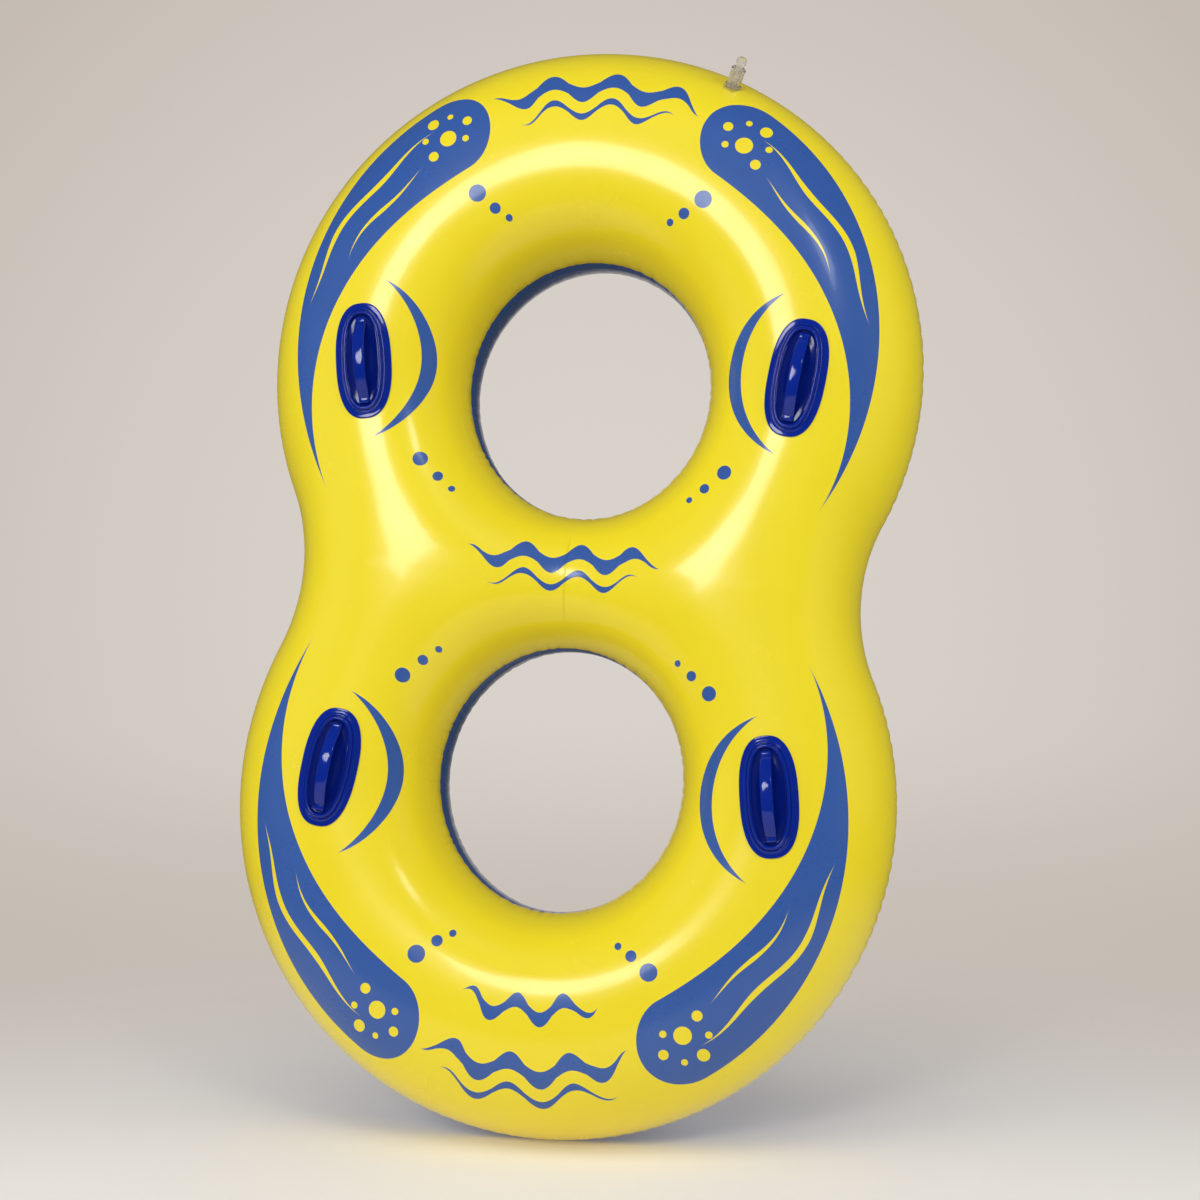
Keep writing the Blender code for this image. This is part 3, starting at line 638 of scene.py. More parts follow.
# %% Shapes of the print
HANDLE_INSET, HANDLE_BACK = 0.201, 0.027
HANDLE_X, HANDLE_Y = RING_RADIUS - HANDLE_INSET, RING_OFFSET - HANDLE_BACK
INK_EDGE = 0.0007
RIBBON_THIN, RIBBON_FULL, RIBBON_TIP = 0.75, 0.30, 0.060
print(f"a handle's middle is {HANDLE_X:.3f} m out and {HANDLE_Y:.3f} m along")


def disc(x, y, at_x, at_y, radius):
    """Distance to a circle's edge."""
    return length_of(x - at_x, y - at_y) - radius


def ribbon(along, off, pitch, height, half_width, reach):
    """A stroke along a sine line, fuller on its crests, that thins out to a point at both ends."""
    line = (off - along.wave(pitch) * height).size()
    full = along.wave(pitch).size() * (half_width * RIBBON_FULL) + half_width * RIBBON_THIN
    fade = ((along.size() * -1.0 + reach) * (1 / RIBBON_TIP)).least(1.0)
    return line - full * fade


# %% Places of the shapes, in metres and radians
# A sweep's line is its shift, start, end and width. A hole or bubble is its x, y and radius. A
# wave is its ring or shift, its radius from the ring's middle, its half width and its reach.
SWEEP_RADIUS, SWEEP_DRIFT, SWEEP_WIDTH, SWEEP_TRIM = 0.492, 0.036, 0.074, 0.0008
SWEEP_START, SWEEP_LENGTH, SWEEP_END, SWEEP_TIP = -0.62, 1.60, 0.98, 0.455
SWEEP_LINES = ((0.020, 0.16, 0.92, 0.0050), (-0.024, 0.36, 0.80, 0.0044))
LINE_START, LINE_PITCH, LINE_SWING, LINE_TAPER = 0.1, 0.44, 0.0060, 4.0
FOAM_HOLES = ((0.258, 0.748, 0.0150), (0.292, 0.778, 0.0105), (0.228, 0.782, 0.0085), (0.300, 0.744, 0.0060),
              (0.262, 0.792, 0.0055), (0.226, 0.748, 0.0060), (0.280, 0.714, 0.0090))
STROKE_X, STROKE_Y, STROKE_RADIUS, STROKE_WIDTH, STROKE_TAPER = 0.424, 0.356, 0.158, 0.0115, 0.0105
BUBBLES = ((0.262, 0.186, 0.0125), (0.230, 0.158, 0.0085), (0.205, 0.138, 0.0055),
           (0.196, 0.650, 0.0150), (0.164, 0.626, 0.0095), (0.140, 0.612, 0.0060))
END_WAVES = ((1, 0.470, 0.0140, 0.178), (1, 0.428, 0.0058, 0.140), (-1, 0.492, 0.0058, 0.140),
             (-1, 0.450, 0.0140, 0.178), (-1, 0.350, 0.0115, 0.150))
BAR_WAVES = ((0.030, 0.0125, 0.165), (-0.008, 0.0052, 0.128))
END_PITCH, END_HEIGHT, END_ARC, BAR_PITCH, BAR_HEIGHT = 0.104, 0.0150, 0.45, 0.094, 0.0130
APART = 4000.0
print(len(FOAM_HOLES) + len(BUBBLES), "bubbles in a quarter,", len(END_WAVES) + len(BAR_WAVES), "waves in all")


# %% The print group
def make_print():
    """The sweep is a band round the ring whose width grows by an eased step of the turn, less its
    lines and holes. The stroke is a part of a circle that thins as the turn squared."""
    tree, given, result = node_group("water_print", {}, ("Ink",))
    x, y, _ = split(given["Position"])
    side, end = x.size(), y.size()

    turn = (end - RING_OFFSET).math("ARCTAN2", side)
    grow = eased(((turn - SWEEP_START) * (1 / SWEEP_LENGTH)).kept())
    centre = length_of(side, end - RING_OFFSET) - SWEEP_RADIUS + grow * SWEEP_DRIFT
    past = ((turn - SWEEP_END) * SWEEP_TIP).most(0.0)
    ink = length_of(centre, past) - grow * SWEEP_WIDTH + SWEEP_TRIM
    for shift, start, stop, width in SWEEP_LINES:
        line = (centre - shift - (turn + LINE_START).wave(LINE_PITCH) * LINE_SWING).size()
        shown = ((turn - start) * LINE_TAPER).least((-turn + stop) * LINE_TAPER).least(1.0)
        ink = ink.most(-(line - shown * width))
    for hole in FOAM_HOLES:
        ink = ink.most(-disc(side, end, *hole))

    inward = (end - STROKE_Y).math("ARCTAN2", -(side - STROKE_X))
    stroke = disc(side, end, STROKE_X, STROKE_Y, STROKE_RADIUS).size()
    ink = ink.least(stroke + inward * inward * STROKE_TAPER - STROKE_WIDTH)
    for bubble in BUBBLES:
        ink = ink.least(disc(side, end, *bubble))

    out = length_of(x, end - RING_OFFSET)
    arc = x.math("ARCTAN2", end - RING_OFFSET) * END_ARC
    for ring, radius, half_width, reach in END_WAVES:
        elsewhere = (y * (ring * -APART)).kept()
        ink = ink.least(ribbon(arc, out - radius, END_PITCH, END_HEIGHT, half_width, reach) + elsewhere)
    for shift, half_width, reach in BAR_WAVES:
        ink = ink.least(ribbon(x, y - shift, BAR_PITCH, BAR_HEIGHT, half_width, reach))
    feed(result, Ink=(ink * (-1.0 / INK_EDGE) + 0.5).kept())
    return tree


PRINT = make_print()
print("water pattern:", len(PRINT.nodes), "nodes")

# %% Helpers for a material
def new_material(name, **constants):
    """A Principled material whose even values sit on the shader's own sockets."""
    made = bpy.data.materials.new(name)
    made.use_nodes = True
    shader = made.node_tree.nodes["Principled BSDF"]
    for label, value in constants.items():
        shader.inputs[label.replace("_", " ")].default_value = value
    return made, shader, Field(made.node_tree.nodes.new("ShaderNodeTexCoord").outputs["Object"])


def mixed(share, first, second):
    """Mix of two colours, each a tuple or a field."""
    node = share.tree.nodes.new("ShaderNodeMix")
    node.data_type = "RGBA"
    colours = {s.name: s for s in node.inputs if s.type == "RGBA"}
    feed(node, Factor=share)
    for label, value in (("A", first), ("B", second)):
        if isinstance(value, Field):
            share.tree.links.new(value.socket, colours[label])
        else:
            colours[label].default_value = (*value, 1.0)
    return Field(next(s for s in node.outputs if s.type == "RGBA"))


def bump(height):
    """The surface's normal where its height, in metres, changes."""
    node = height.tree.nodes.new("ShaderNodeBump")
    node.inputs["Strength"].default_value = 1.0
    node.inputs["Distance"].default_value = 1.0
    feed(node, Height=height)
    return Field(node.outputs["Normal"])


# %% [markdown]
# ## The yellow sheet
#
# Yellow film with the blue print on it. The ink lies on top of the film, so it is a shade flatter
# in gloss. Light that has come through the film goes to and fro in the air chamber and comes out
# again everywhere, so the sheet never looks dark: a faint glow in its own colours stands for that.
# Where the bar between the seats was folded for packing, one sharp line is left down its middle.

# %% Yellow material
YELLOW, DEEP_YELLOW, YELLOW_GLOW = (0.800, 0.685, 0.022), (0.725, 0.565, 0.010), (1.00, 0.62, 0.010)
PRINT_BLUE, PALE_BLUE, BLUE_GLOW = (0.025, 0.080, 0.300), (0.037, 0.110, 0.370), (0.020, 0.050, 0.180)
DEEP_SHARE, WELD_SHARE, PALE_SHARE, PALE_SWING, GLOW = 0.35, 0.6, 0.4, 1.4, 0.080
FOLD_WIDTH, FOLD_SHARPNESS, FOLD_LENGTH, FOLD_TAPER, FOLD_HEIGHT = 0.0024, 420.0, 0.085, 30.0, 0.0012
HOLE_ZONE, ZONE_SHARPNESS = 0.32, 20.0
YELLOW_ROUGHNESS, INK_ROUGHNESS, INK_THICKNESS = 0.245, 0.05, 0.00002


def make_yellow():
    """The ink chooses between two mixes, of yellows that the weld bands draw deeper and of blues.
    The heights of film, welds, fold and ink are added up."""
    made, shader, place = new_material(
        "yellow_vinyl", IOR=FILM_IOR, Coat_Roughness=COAT_ROUGHNESS, Emission_Strength=GLOW)
    film = use_group(FILM, place, Swim=0.55, Grain=1.0)
    outer = use_group(WELD, place, Level=OUTER_WELD, Half_Width=0.0036)
    inner = use_group(WELD, place, Level=INNER_WELD, Half_Width=0.0040)
    ink = use_group(PRINT, place)["Ink"]
    x, y, _ = split(place)
    at_hole = ((length_of(x, y.size() - HOLE_OFFSET) * -1.0 + HOLE_ZONE) * ZONE_SHARPNESS).kept()
    bands = outer["Band"] + inner["Band"] * at_hole
    yellow = mixed((film["Tint"] + DEEP_SHARE + bands * WELD_SHARE).kept(), YELLOW, DEEP_YELLOW)
    blue = mixed((film["Tint"] * PALE_SWING + PALE_SHARE).kept(), PRINT_BLUE, PALE_BLUE)
    bar = ((y.size() * -1.0 + FOLD_LENGTH) * FOLD_TAPER).kept()
    fold = ((x.size() * -1.0 + FOLD_WIDTH) * FOLD_SHARPNESS).kept() * bar * FOLD_HEIGHT
    height = film["Height"] + outer["Height"] + inner["Height"] * at_hole
    feed(shader, Base_Color=mixed(ink, yellow, blue), Emission_Color=mixed(ink, YELLOW_GLOW, BLUE_GLOW),
         Roughness=film["Gloss"] + YELLOW_ROUGHNESS + ink * INK_ROUGHNESS,
         Coat_Weight=film["Gloss"] * -COAT_LOSS + FILM_COAT,
         Normal=bump(height + fold + ink * INK_THICKNESS))
    return made


YELLOW_VINYL = make_yellow()
print("yellow vinyl:", len(YELLOW_VINYL.node_tree.nodes), "nodes, four of them groups")

# %% [markdown]
# ## The blue sheet
#
# The lower sheet is the same film dyed blue. It shows round the seats and along the waist, and it
# covers the whole back. The part that rests on the ground has dulled a little.

# %% Blue material
SHEET_BLUE, DEEP_BLUE = (0.024, 0.098, 0.350), (0.016, 0.066, 0.262)
SCUFF_HEIGHT, SCUFF_SHARPNESS, SCUFF_NOISE, SCUFF_LEVEL = 0.012, 90.0, ((90.0, 4.0, 0.7, 1.5),), 0.6
BLUE_ROUGHNESS, SCUFF_ROUGHNESS, SCUFF_COAT_LOSS, DEEP_BLUE_SHARE = 0.26, 0.22, 0.3, 0.4


def make_blue():
    """One mix of blues. Under the scuff height a fine noise makes it rougher and takes its coat."""
    made, shader, place = new_material("blue_vinyl", IOR=FILM_IOR, Coat_Roughness=COAT_ROUGHNESS)
    film = use_group(FILM, place, Swim=0.55, Grain=1.0)
    outer = use_group(WELD, place, Level=OUTER_WELD, Half_Width=0.0050)
    low = ((split(place)[2] * -1.0 + SCUFF_HEIGHT) * SCUFF_SHARPNESS).kept()
    scuff = low * (layers(place, SCUFF_NOISE) + SCUFF_LEVEL).kept()
    feed(shader, Base_Color=mixed((film["Tint"] + DEEP_BLUE_SHARE).kept(), SHEET_BLUE, DEEP_BLUE),
         Roughness=film["Gloss"] + BLUE_ROUGHNESS + scuff * SCUFF_ROUGHNESS,
         Coat_Weight=(film["Gloss"] * -COAT_LOSS + FILM_COAT - scuff * SCUFF_COAT_LOSS).kept(),
         Normal=bump(film["Height"] + outer["Height"]))
    return made


BLUE_VINYL = make_blue()
print("blue vinyl:", len(BLUE_VINYL.node_tree.nodes), "nodes, two of them groups")

# %% [markdown]
# ## The two sheets
#
# Each sheet is one thin wall. The yellow one runs from the weld inside the seat, over the crest,
# to just past the outer edge, where it laps over the blue one. The blue one starts under the
# yellow lap inside the seat, goes round the back and comes up under the lap outside. Rows lie
# close together at the welds, where the puckers are, and wider over the crest. The Solidify
# modifier gives the wall its thickness.

# %% Rows of each sheet
SKIN = 0.0009
GAP = 0.0003
SEAM_STEPS = (0.0, 0.0030, 0.0062, 0.0100, 0.0145, 0.0200, 0.0270, 0.0350, 0.0450)
CREST_ROWS = 8


def graded(edge, total):
    """Rows from an arc length at an edge up to the crest: the seam steps first, and then rows at
    even distances."""
    near = np.full((len(total), 1), edge) + np.sign(total)[:, None] * np.array(SEAM_STEPS)[None]
    even = np.linspace(0, 1, CREST_ROWS + 1)[None, 1:]
    return np.concatenate([near, near[:, -1:] + (total[:, None] - near[:, -1:]) * even], 1)


UPPER_ROWS = graded(INNER_SEAM_RISE, INNER.total), graded(-OUTER_SEAM_DROP, OUTER.total)[:, ::-1]
LOWER_ROWS = (graded(INNER_SEAM_RISE + LAP, -INNER.total),
              graded(LAP - OUTER_SEAM_DROP, -OUTER.total)[:, ::-1])
print("rows in a sheet:", sum(rows.shape[1] for rows in UPPER_ROWS) - 1)

# %% The valve's frame
CAP_JOINT = next(j for j in frame["joints"] if j["name"] == "cap_pull")
FLAP_JOINT = next(j for j in frame["joints"] if j["name"] == "flap_hinge")
STEM_BORE, STEM_DEPTH, FLAP_LAP, FLAP_THICKNESS = 0.0076, 0.022, 0.0022, 0.0010
VALVE_OUT = Vector(CAP_JOINT["axis"]).normalized()
VALVE_UP = (Vector((0, 0, 1)) - VALVE_OUT * VALVE_OUT.z).normalized()
VALVE_SIDE = VALVE_UP.cross(VALVE_OUT)
hinge_depth = STEM_DEPTH + GAP + FLAP_THICKNESS / 2
VALVE_AT = Vector(FLAP_JOINT["pos_m"]) - VALVE_SIDE * (STEM_BORE + FLAP_LAP) + VALVE_OUT * hinge_depth
VALVE_FRAME = np.array([VALVE_SIDE, VALVE_UP, VALVE_OUT])
print("valve at", [round(v, 4) for v in VALVE_AT], "pointing", [round(v, 3) for v in VALVE_OUT])

# %% Shaping a sheet
VALVE_FLAT, VALVE_BLEND, VALVE_NEAR = 0.021, 0.030, 0.02


def flatten_at_valve(points):
    """Brings the skin to the valve's flat weld disc: within its radius a point loses its height
    over the disc's plane, and farther out less of it, down to none."""
    local = (points - np.array(VALVE_AT)) @ VALVE_FRAME.T
    reach = np.clip((np.hypot(local[:, 0], local[:, 1]) - VALVE_FLAT) / VALVE_BLEND, 0, 1)
    share = (1 - eased(reach)) * (np.abs(local[:, 2]) < VALVE_NEAR)
    return points - (local[:, 2] * share)[:, None] * VALVE_FRAME[2]


def make_sheet(name, rows, lower, finish):
    """A mirrored quarter, lifted along its normals by the puckers, with its wall inwards. The
    lower sheet lies a wall and a gap farther in, and is flat where it would pass the ground."""
    points = quarter_points(*rows)
    faces = grid_faces(rows[0].shape[1], points.shape[1])
    points, faces = four_quarters(points.reshape(-1, 3), faces[:, ::-1] if lower else faces)
    normal = point_normals(points, faces)
    lift = pucker(points)
    if lower:
        lift = lift - SKIN - GAP
    points = points + normal * lift[:, None]
    points[:, 2] += REST
    if lower:
        points[:, 2] = np.maximum(points[:, 2], 0.0)
    else:
        points = flatten_at_valve(points)
    made = mesh_object(name, points, faces, finish)
    wall = made.modifiers.new("wall", "SOLIDIFY")
    wall.thickness = SKIN
    wall.offset = -1.0
    wall.use_even_offset = True
    print(name, len(points), "points,", len(faces), "faces, box",
          np.round(points.min(0), 4).tolist(), np.round(points.max(0), 4).tolist())
    return made


def bake(made):
    """Puts the mesh that the modifiers make in place of the one the object had."""
    bpy.context.view_layer.update()
    result = bpy.data.meshes.new_from_object(made.evaluated_get(bpy.context.evaluated_depsgraph_get()))
    made.modifiers.clear()
    made.data = result


blue_sheet = make_sheet("blue_sheet", LOWER_ROWS, True, BLUE_VINYL)
yellow_sheet = make_sheet("yellow_sheet", UPPER_ROWS, False, YELLOW_VINYL)

# %% [markdown]
# ## Parts that are turned round an axis
#
# The valve's parts are moulded, and each is a solid of revolution. Its outline is a list of radius
# and height pairs. The corners are rounded first, by cutting each one back and putting a small
# curve there, because a moulding has no knife edges and a rounded edge is what catches the light.

# %% Rounded outlines and turned solids
MOST_CUT = 0.42


def rounded(profile, radius, closed, steps=4):
    """Each inner corner gives way to a curve from one of its sides to the other, by the quadratic
    rule between the corner and two points cut back along its sides, by less than half of a side."""
    corner = np.array(profile, float)
    back, on = np.roll(corner, 1, 0) - corner, np.roll(corner, -1, 0) - corner
    length_back = np.linalg.norm(back, axis=1, keepdims=True)
    length_on = np.linalg.norm(on, axis=1, keepdims=True)
    cut = np.minimum(radius, MOST_CUT * np.minimum(length_back, length_on))
    start = corner + back / length_back * cut
    end = corner + on / length_on * cut
    t = np.linspace(0, 1, steps + 1)[None, :, None]
    curve = (1 - t) ** 2 * start[:, None] + 2 * t * (1 - t) * corner[:, None] + t ** 2 * end[:, None]
    if closed:
        return curve.reshape(-1, 2)
    return np.concatenate([corner[:1], curve[1:-1].reshape(-1, 2), corner[-1:]])


def ring_faces(loops, count, closed):
    """Quads between neighbouring loops of points. The last loop joins the first one if closed."""
    number = np.arange(loops * count).reshape(loops, count)
    low = number if closed else number[:-1]
    high = np.roll(number, -1, 0) if closed else number[1:]
    corners = (low, np.roll(low, -1, 1), np.roll(high, -1, 1), high)
    return np.stack([c.ravel() for c in corners], 1).tolist()


def fan(middle, first, count, onward):
    """Triangles from a middle point to the loop that begins at the first number. Onward runs them
    round the way the loop runs, and otherwise they are turned over."""
    here = first + np.arange(count)
    there = np.roll(here, -1)
    return np.stack([np.full(count, middle), *((here, there) if onward else (there, here))], 1).tolist()


def turned(name, profile, finish, segments=64):
    """Carries an outline round the valve's axis. It runs anticlockwise, and closes on itself or
    starts and ends on the axis, where each end loop becomes one point."""
    poles = profile[0][0] == 0.0
    loops = profile[1:-1] if poles else profile
    turn = 2 * math.pi * np.arange(segments) / segments
    radius, up = loops[:, 0][:, None], loops[:, 1][:, None] + 0 * turn[None]
    local = np.stack([radius * np.cos(turn), radius * np.sin(turn), up], 2).reshape(-1, 3)
    faces = ring_faces(len(loops), segments, not poles)
    if poles:
        low, high, last = len(local), len(local) + 1, (len(loops) - 1) * segments
        local = np.concatenate([local, [[0, 0, profile[0][1]], [0, 0, profile[-1][1]]]])
        faces += fan(low, 0, segments, False) + fan(high, last, segments, True)
    return mesh_object(name, local @ VALVE_FRAME + np.array(VALVE_AT), faces, finish, sharp=50)


# %% [markdown]
# ## Clear vinyl of the valve
#
# The valve is moulded from undyed vinyl, which is milky and lets light through. Light goes into it
# and comes out softened, so it takes transmission with a rough inside, and a faint flow pattern in
# the colour.

# %% Clear material
FLOW_TINT, FLOW_HEIGHT = ((160.0, 3.0, 1.3),), ((300.0, 2.0, 0.00006),)
FLOW_LEVEL, CLEAR_ROUGHNESS = 0.5, 0.17


def make_clear(name, colour, shade):
    """Two tones mixed by a fine noise, over rough transmission."""
    made, shader, place = new_material(
        name, IOR=1.50, Transmission_Weight=0.78, Coat_Weight=0.35, Coat_Roughness=0.08)
    film = use_group(FILM, place, Swim=0.0, Grain=0.7)
    flow = (layers(place, FLOW_TINT) + FLOW_LEVEL).kept()
    feed(shader, Base_Color=mixed(flow, colour, shade), Roughness=film["Gloss"] + CLEAR_ROUGHNESS,
         Normal=bump(film["Height"] + layers(place, FLOW_HEIGHT)))
    return made


CLEAR_VINYL = make_clear("clear_vinyl", (0.90, 0.86, 0.79), (0.78, 0.73, 0.65))
CAP_VINYL = make_clear("cap_vinyl", (0.92, 0.89, 0.84), (0.80, 0.77, 0.71))
print("clear vinyl:", len(CLEAR_VINYL.node_tree.nodes), "nodes, one of them a group")

# %% Sizes of the valve, in metres
STEM_RADIUS, STEM_HEIGHT = 0.0120, 0.034
LIP_WIDTH, LIP_HEIGHT = 0.0012, 0.0035
NECK_WALL, NECK_HEIGHT, NECK_CLEARANCE = 0.0016, 0.0050, 0.0005
FLANGE_RADIUS, FLANGE_THICKNESS = 0.0205, 0.0012
PLUG_CLEARANCE, PLUG_LENGTH, PLUG_CHAMFER = 0.0004, 0.012, 0.0011
KNOB_RADIUS, KNOB_HEIGHT, KNOB_RIM, KNOB_ROUNDING = 0.0090, 0.021, 0.0016, 0.0022
EDGE_BREAK = 0.0008
KNOB_SHARES = ((0.80, 0.12), (0.78, 0.30), (1.0, 0.46), (1.0, 0.72), (0.85, 0.90), (0.50, 0.985))
NECK_RADIUS = STEM_RADIUS + NECK_CLEARANCE + NECK_WALL
FLANGE_TOP = -SKIN - GAP
CUT = 0.02
print(f"valve {STEM_HEIGHT + GAP + KNOB_HEIGHT:.4f} m tall, stem {2 * STEM_RADIUS:.4f} m across")

# %% The hole for the valve
cutter = turned("valve_hole", np.array([(0.0, -CUT), (NECK_RADIUS + GAP, -CUT), (NECK_RADIUS + GAP, CUT),
                                        (0.0, CUT)]), YELLOW_VINYL, segments=96)
hole = yellow_sheet.modifiers.new("valve_hole", "BOOLEAN")
hole.operation = "DIFFERENCE"
hole.solver = "EXACT"
hole.object = cutter
bake(yellow_sheet)
bpy.data.objects.remove(cutter, do_unlink=True)
print("yellow sheet:", len(yellow_sheet.data.polygons), "faces after the hole")

# %% Flange, stem, cap and flap
FLANGE_LOW = FLANGE_TOP - FLANGE_THICKNESS
bore = STEM_RADIUS + NECK_CLEARANCE
flange = turned("valve_flange_ring", rounded(
    [(bore, FLANGE_LOW), (FLANGE_RADIUS, FLANGE_LOW), (FLANGE_RADIUS, FLANGE_TOP),
     (NECK_RADIUS, FLANGE_TOP), (NECK_RADIUS, NECK_HEIGHT), (bore, NECK_HEIGHT)],
    EDGE_BREAK, closed=True), CLEAR_VINYL)

collar_top = FLANGE_LOW - GAP
collar_low = collar_top - FLANGE_THICKNESS
lip = STEM_RADIUS + LIP_WIDTH
lip_low = STEM_HEIGHT - LIP_HEIGHT
stem = turned("valve_stem_tube", rounded(
    [(STEM_BORE, -STEM_DEPTH), (STEM_RADIUS, -STEM_DEPTH), (STEM_RADIUS, collar_low), (lip, collar_low),
     (lip, collar_top), (STEM_RADIUS, collar_top), (STEM_RADIUS, lip_low), (lip, lip_low + LIP_WIDTH),
     (lip, STEM_HEIGHT), (STEM_BORE, STEM_HEIGHT)], EDGE_BREAK, closed=True), CLEAR_VINYL)

pin = STEM_BORE - PLUG_CLEARANCE
seat = STEM_HEIGHT + GAP
rim = STEM_RADIUS - EDGE_BREAK
low = STEM_HEIGHT - PLUG_LENGTH
outline = [(0.0, low), (pin - PLUG_CHAMFER, low), (pin, low + PLUG_CHAMFER), (pin, seat)]
outline += [(rim, seat), (rim, seat + KNOB_RIM)]
outline += [(KNOB_RADIUS * radius, seat + KNOB_HEIGHT * up) for radius, up in KNOB_SHARES]
outline.append((0.0, seat + KNOB_HEIGHT))
cap = turned("valve_cap_knob", rounded(outline, KNOB_ROUNDING, closed=False, steps=6), CAP_VINYL)
print("flange, stem and cap:", [len(piece.data.polygons) for piece in (flange, stem, cap)], "faces")

# %% [markdown]
# ## Handles
#
# Each handle is one moulding in glossy royal blue: an oval base with a thin weld flange, a low
# bead, a tall bead, and a dish for the fingers, with a strap arched over the dish. The dish's long
# sides rise towards the tall bead like a trough's. An attribute on the mesh marks the dish, and the
# material paints shade there: a darker blue, so that the dish looks deeper than it is, and a
# rougher gloss with less coat. The base follows the curve of the ring. The skin's height near a
# handle is fitted by a polynomial in x and y, whose smooth curvature keeps the reflections in the
# gloss clean, where reading the height from a grid would leave small waves in them.

# %% Handle material
HANDLE_BLUE, HANDLE_SHADE = (0.001, 0.019, 0.275), (0.001, 0.012, 0.190)
# The dish's blue is painted shade, darker than the rest of the moulding.
DISH_PAINTED_SHADE = (0.001, 0.009, 0.155)
SHADE_SWING, SHADE_SHARE, GLOSS_SHARE, MOULD_SWIM = 1.3, 0.35, 0.35, ((55.0, 1.0, 0.00020),)
HANDLE_ROUGHNESS, DISH_ROUGHNESS, HANDLE_COAT, DISH_COAT_LOSS = 0.095, 0.04, 0.25, 0.15


def make_handle_vinyl(name, shift):
    """Two blues mixed by the film's tint, and then a third, the dish's painted shade, by the dish attribute."""
    made, shader, place = new_material(name, IOR=1.36, Coat_Roughness=0.03)
    film = use_group(FILM, place, Swim=0.12, Grain=0.8)
    mark = place.tree.nodes.new("ShaderNodeAttribute")
    mark.attribute_name = "dish"
    dish = Field(mark.outputs["Fac"])
    tint = (film["Tint"] * SHADE_SWING + SHADE_SHARE + shift).kept()
    feed(shader, Base_Color=mixed(dish, mixed(tint, HANDLE_BLUE, HANDLE_SHADE), DISH_PAINTED_SHADE),
         Roughness=film["Gloss"] * GLOSS_SHARE + HANDLE_ROUGHNESS + dish * DISH_ROUGHNESS,
         Coat_Weight=dish * -DISH_COAT_LOSS + HANDLE_COAT,
         Normal=bump(film["Height"] + layers(place, MOULD_SWIM)))
    return made


BASE_VINYL = make_handle_vinyl("handle_vinyl", 0.0)
GRIP_VINYL = make_handle_vinyl("grip_vinyl", -0.1)
print("handle vinyl:", len(BASE_VINYL.node_tree.nodes), "nodes, one of them a group")

# %% The skin's height near a handle
HANDLE_SPLAY = math.radians(7.5)
BASE_WIDTH, BASE_LENGTH, BASE_SQUARENESS = 0.098, 0.202, 2.5
PATCH_UNIT, PATCH_WIDTH, PATCH_LENGTH, PATCH_ORDER = 0.1, 0.10, 0.15, 6


def powers(x, y):
    """All products of powers of x and y up to the patch's order, in tenths of a metre."""
    u, v = (x - HANDLE_X) / PATCH_UNIT, (y - HANDLE_Y) / PATCH_UNIT
    return np.stack([u ** i * v ** j for i in range(PATCH_ORDER + 1) for j in range(PATCH_ORDER + 1 - i)], -1)


near = np.hypot((PLAN_X - HANDLE_X) / PATCH_WIDTH, (PLAN_Y - HANDLE_Y) / PATCH_LENGTH) < 1
PATCH = np.linalg.lstsq(powers(PLAN_X[near], PLAN_Y[near]), HEIGHT[near], rcond=None)[0]
worst = np.abs(powers(PLAN_X[near], PLAN_Y[near]) @ PATCH - HEIGHT[near]).max()
print(f"handle patch from {int(near.sum())} points, worst error {worst * 1000:.3f} mm")


def patch_height(x, y):
    """The fitted polynomial: every product of powers times its own factor."""
    return powers(x, y) @ PATCH


def patch_fall(step_x, step_y):
    """How far the skin falls across the handle's middle, from one step before it to one after."""
    return (patch_height(np.array(HANDLE_X - step_x), np.array(HANDLE_Y - step_y))
            - patch_height(np.array(HANDLE_X + step_x), np.array(HANDLE_Y + step_y)))


step = BASE_WIDTH / 4
HANDLE_NORMAL = np.array([patch_fall(step, 0.0), patch_fall(0.0, step), 2 * step])
HANDLE_NORMAL /= np.linalg.norm(HANDLE_NORMAL)


def on_handle(across, along, up):
    """World points from places across, along and above the skin on the rear right handle."""
    lean_x, lean_y = math.sin(HANDLE_SPLAY), math.cos(HANDLE_SPLAY)
    x = HANDLE_X + across * lean_y + along * lean_x
    y = HANDLE_Y - across * lean_x + along * lean_y
    spot = np.stack([x, y, patch_height(x, y) + REST], -1)
    return spot + np.asarray(up)[..., None] * HANDLE_NORMAL


def squarish(count, squareness):
    """Even turns, and their cosine and sine raised to two over the squareness: a circle at two,
    and straighter sides above it."""
    turn = 2 * math.pi * (np.arange(count) + 0.5) / count
    return turn, *(np.sign(c) * np.abs(c) ** (2 / squareness) for c in (np.cos(turn), np.sin(turn)))


# %% Sizes of the base, in metres
FLANGE_WIDTH, FLANGE_EDGE = 0.008, 0.0016
OUTER_BEAD_WIDTH, OUTER_BEAD_HEIGHT = 0.0055, 0.0042
INNER_BEAD_WIDTH, INNER_BEAD_HEIGHT = 0.0075, 0.0090
GROOVE_HEIGHT, DISH_FLOOR, DISH_FILLET = 0.0034, 0.0022, 0.003
BEAD_FULLNESS, BEAD_STEPS = 0.85, 11
TROUGH_RISE, TROUGH_INSET, TROUGH_START, TROUGH_POWER = 0.0050, 0.042, 0.0005, 4
SHADE_START, SHADE_EASE = 0.003, 0.004
OVAL_POINTS, UNDER_LOOPS, DISH_LOOPS = 120, 7, 9
UNDER, UNDER_INSET, FLOOR_INSET, MIDDLE_GAP = 0.0008, 0.0030, 0.031, 0.002
GROOVE_INSET = FLANGE_WIDTH + OUTER_BEAD_WIDTH
DISH_INSET = GROOVE_INSET + INNER_BEAD_WIDTH
print(f"dish {BASE_LENGTH - 2 * DISH_INSET:.3f} m long and {BASE_WIDTH - 2 * DISH_INSET:.3f} m wide")


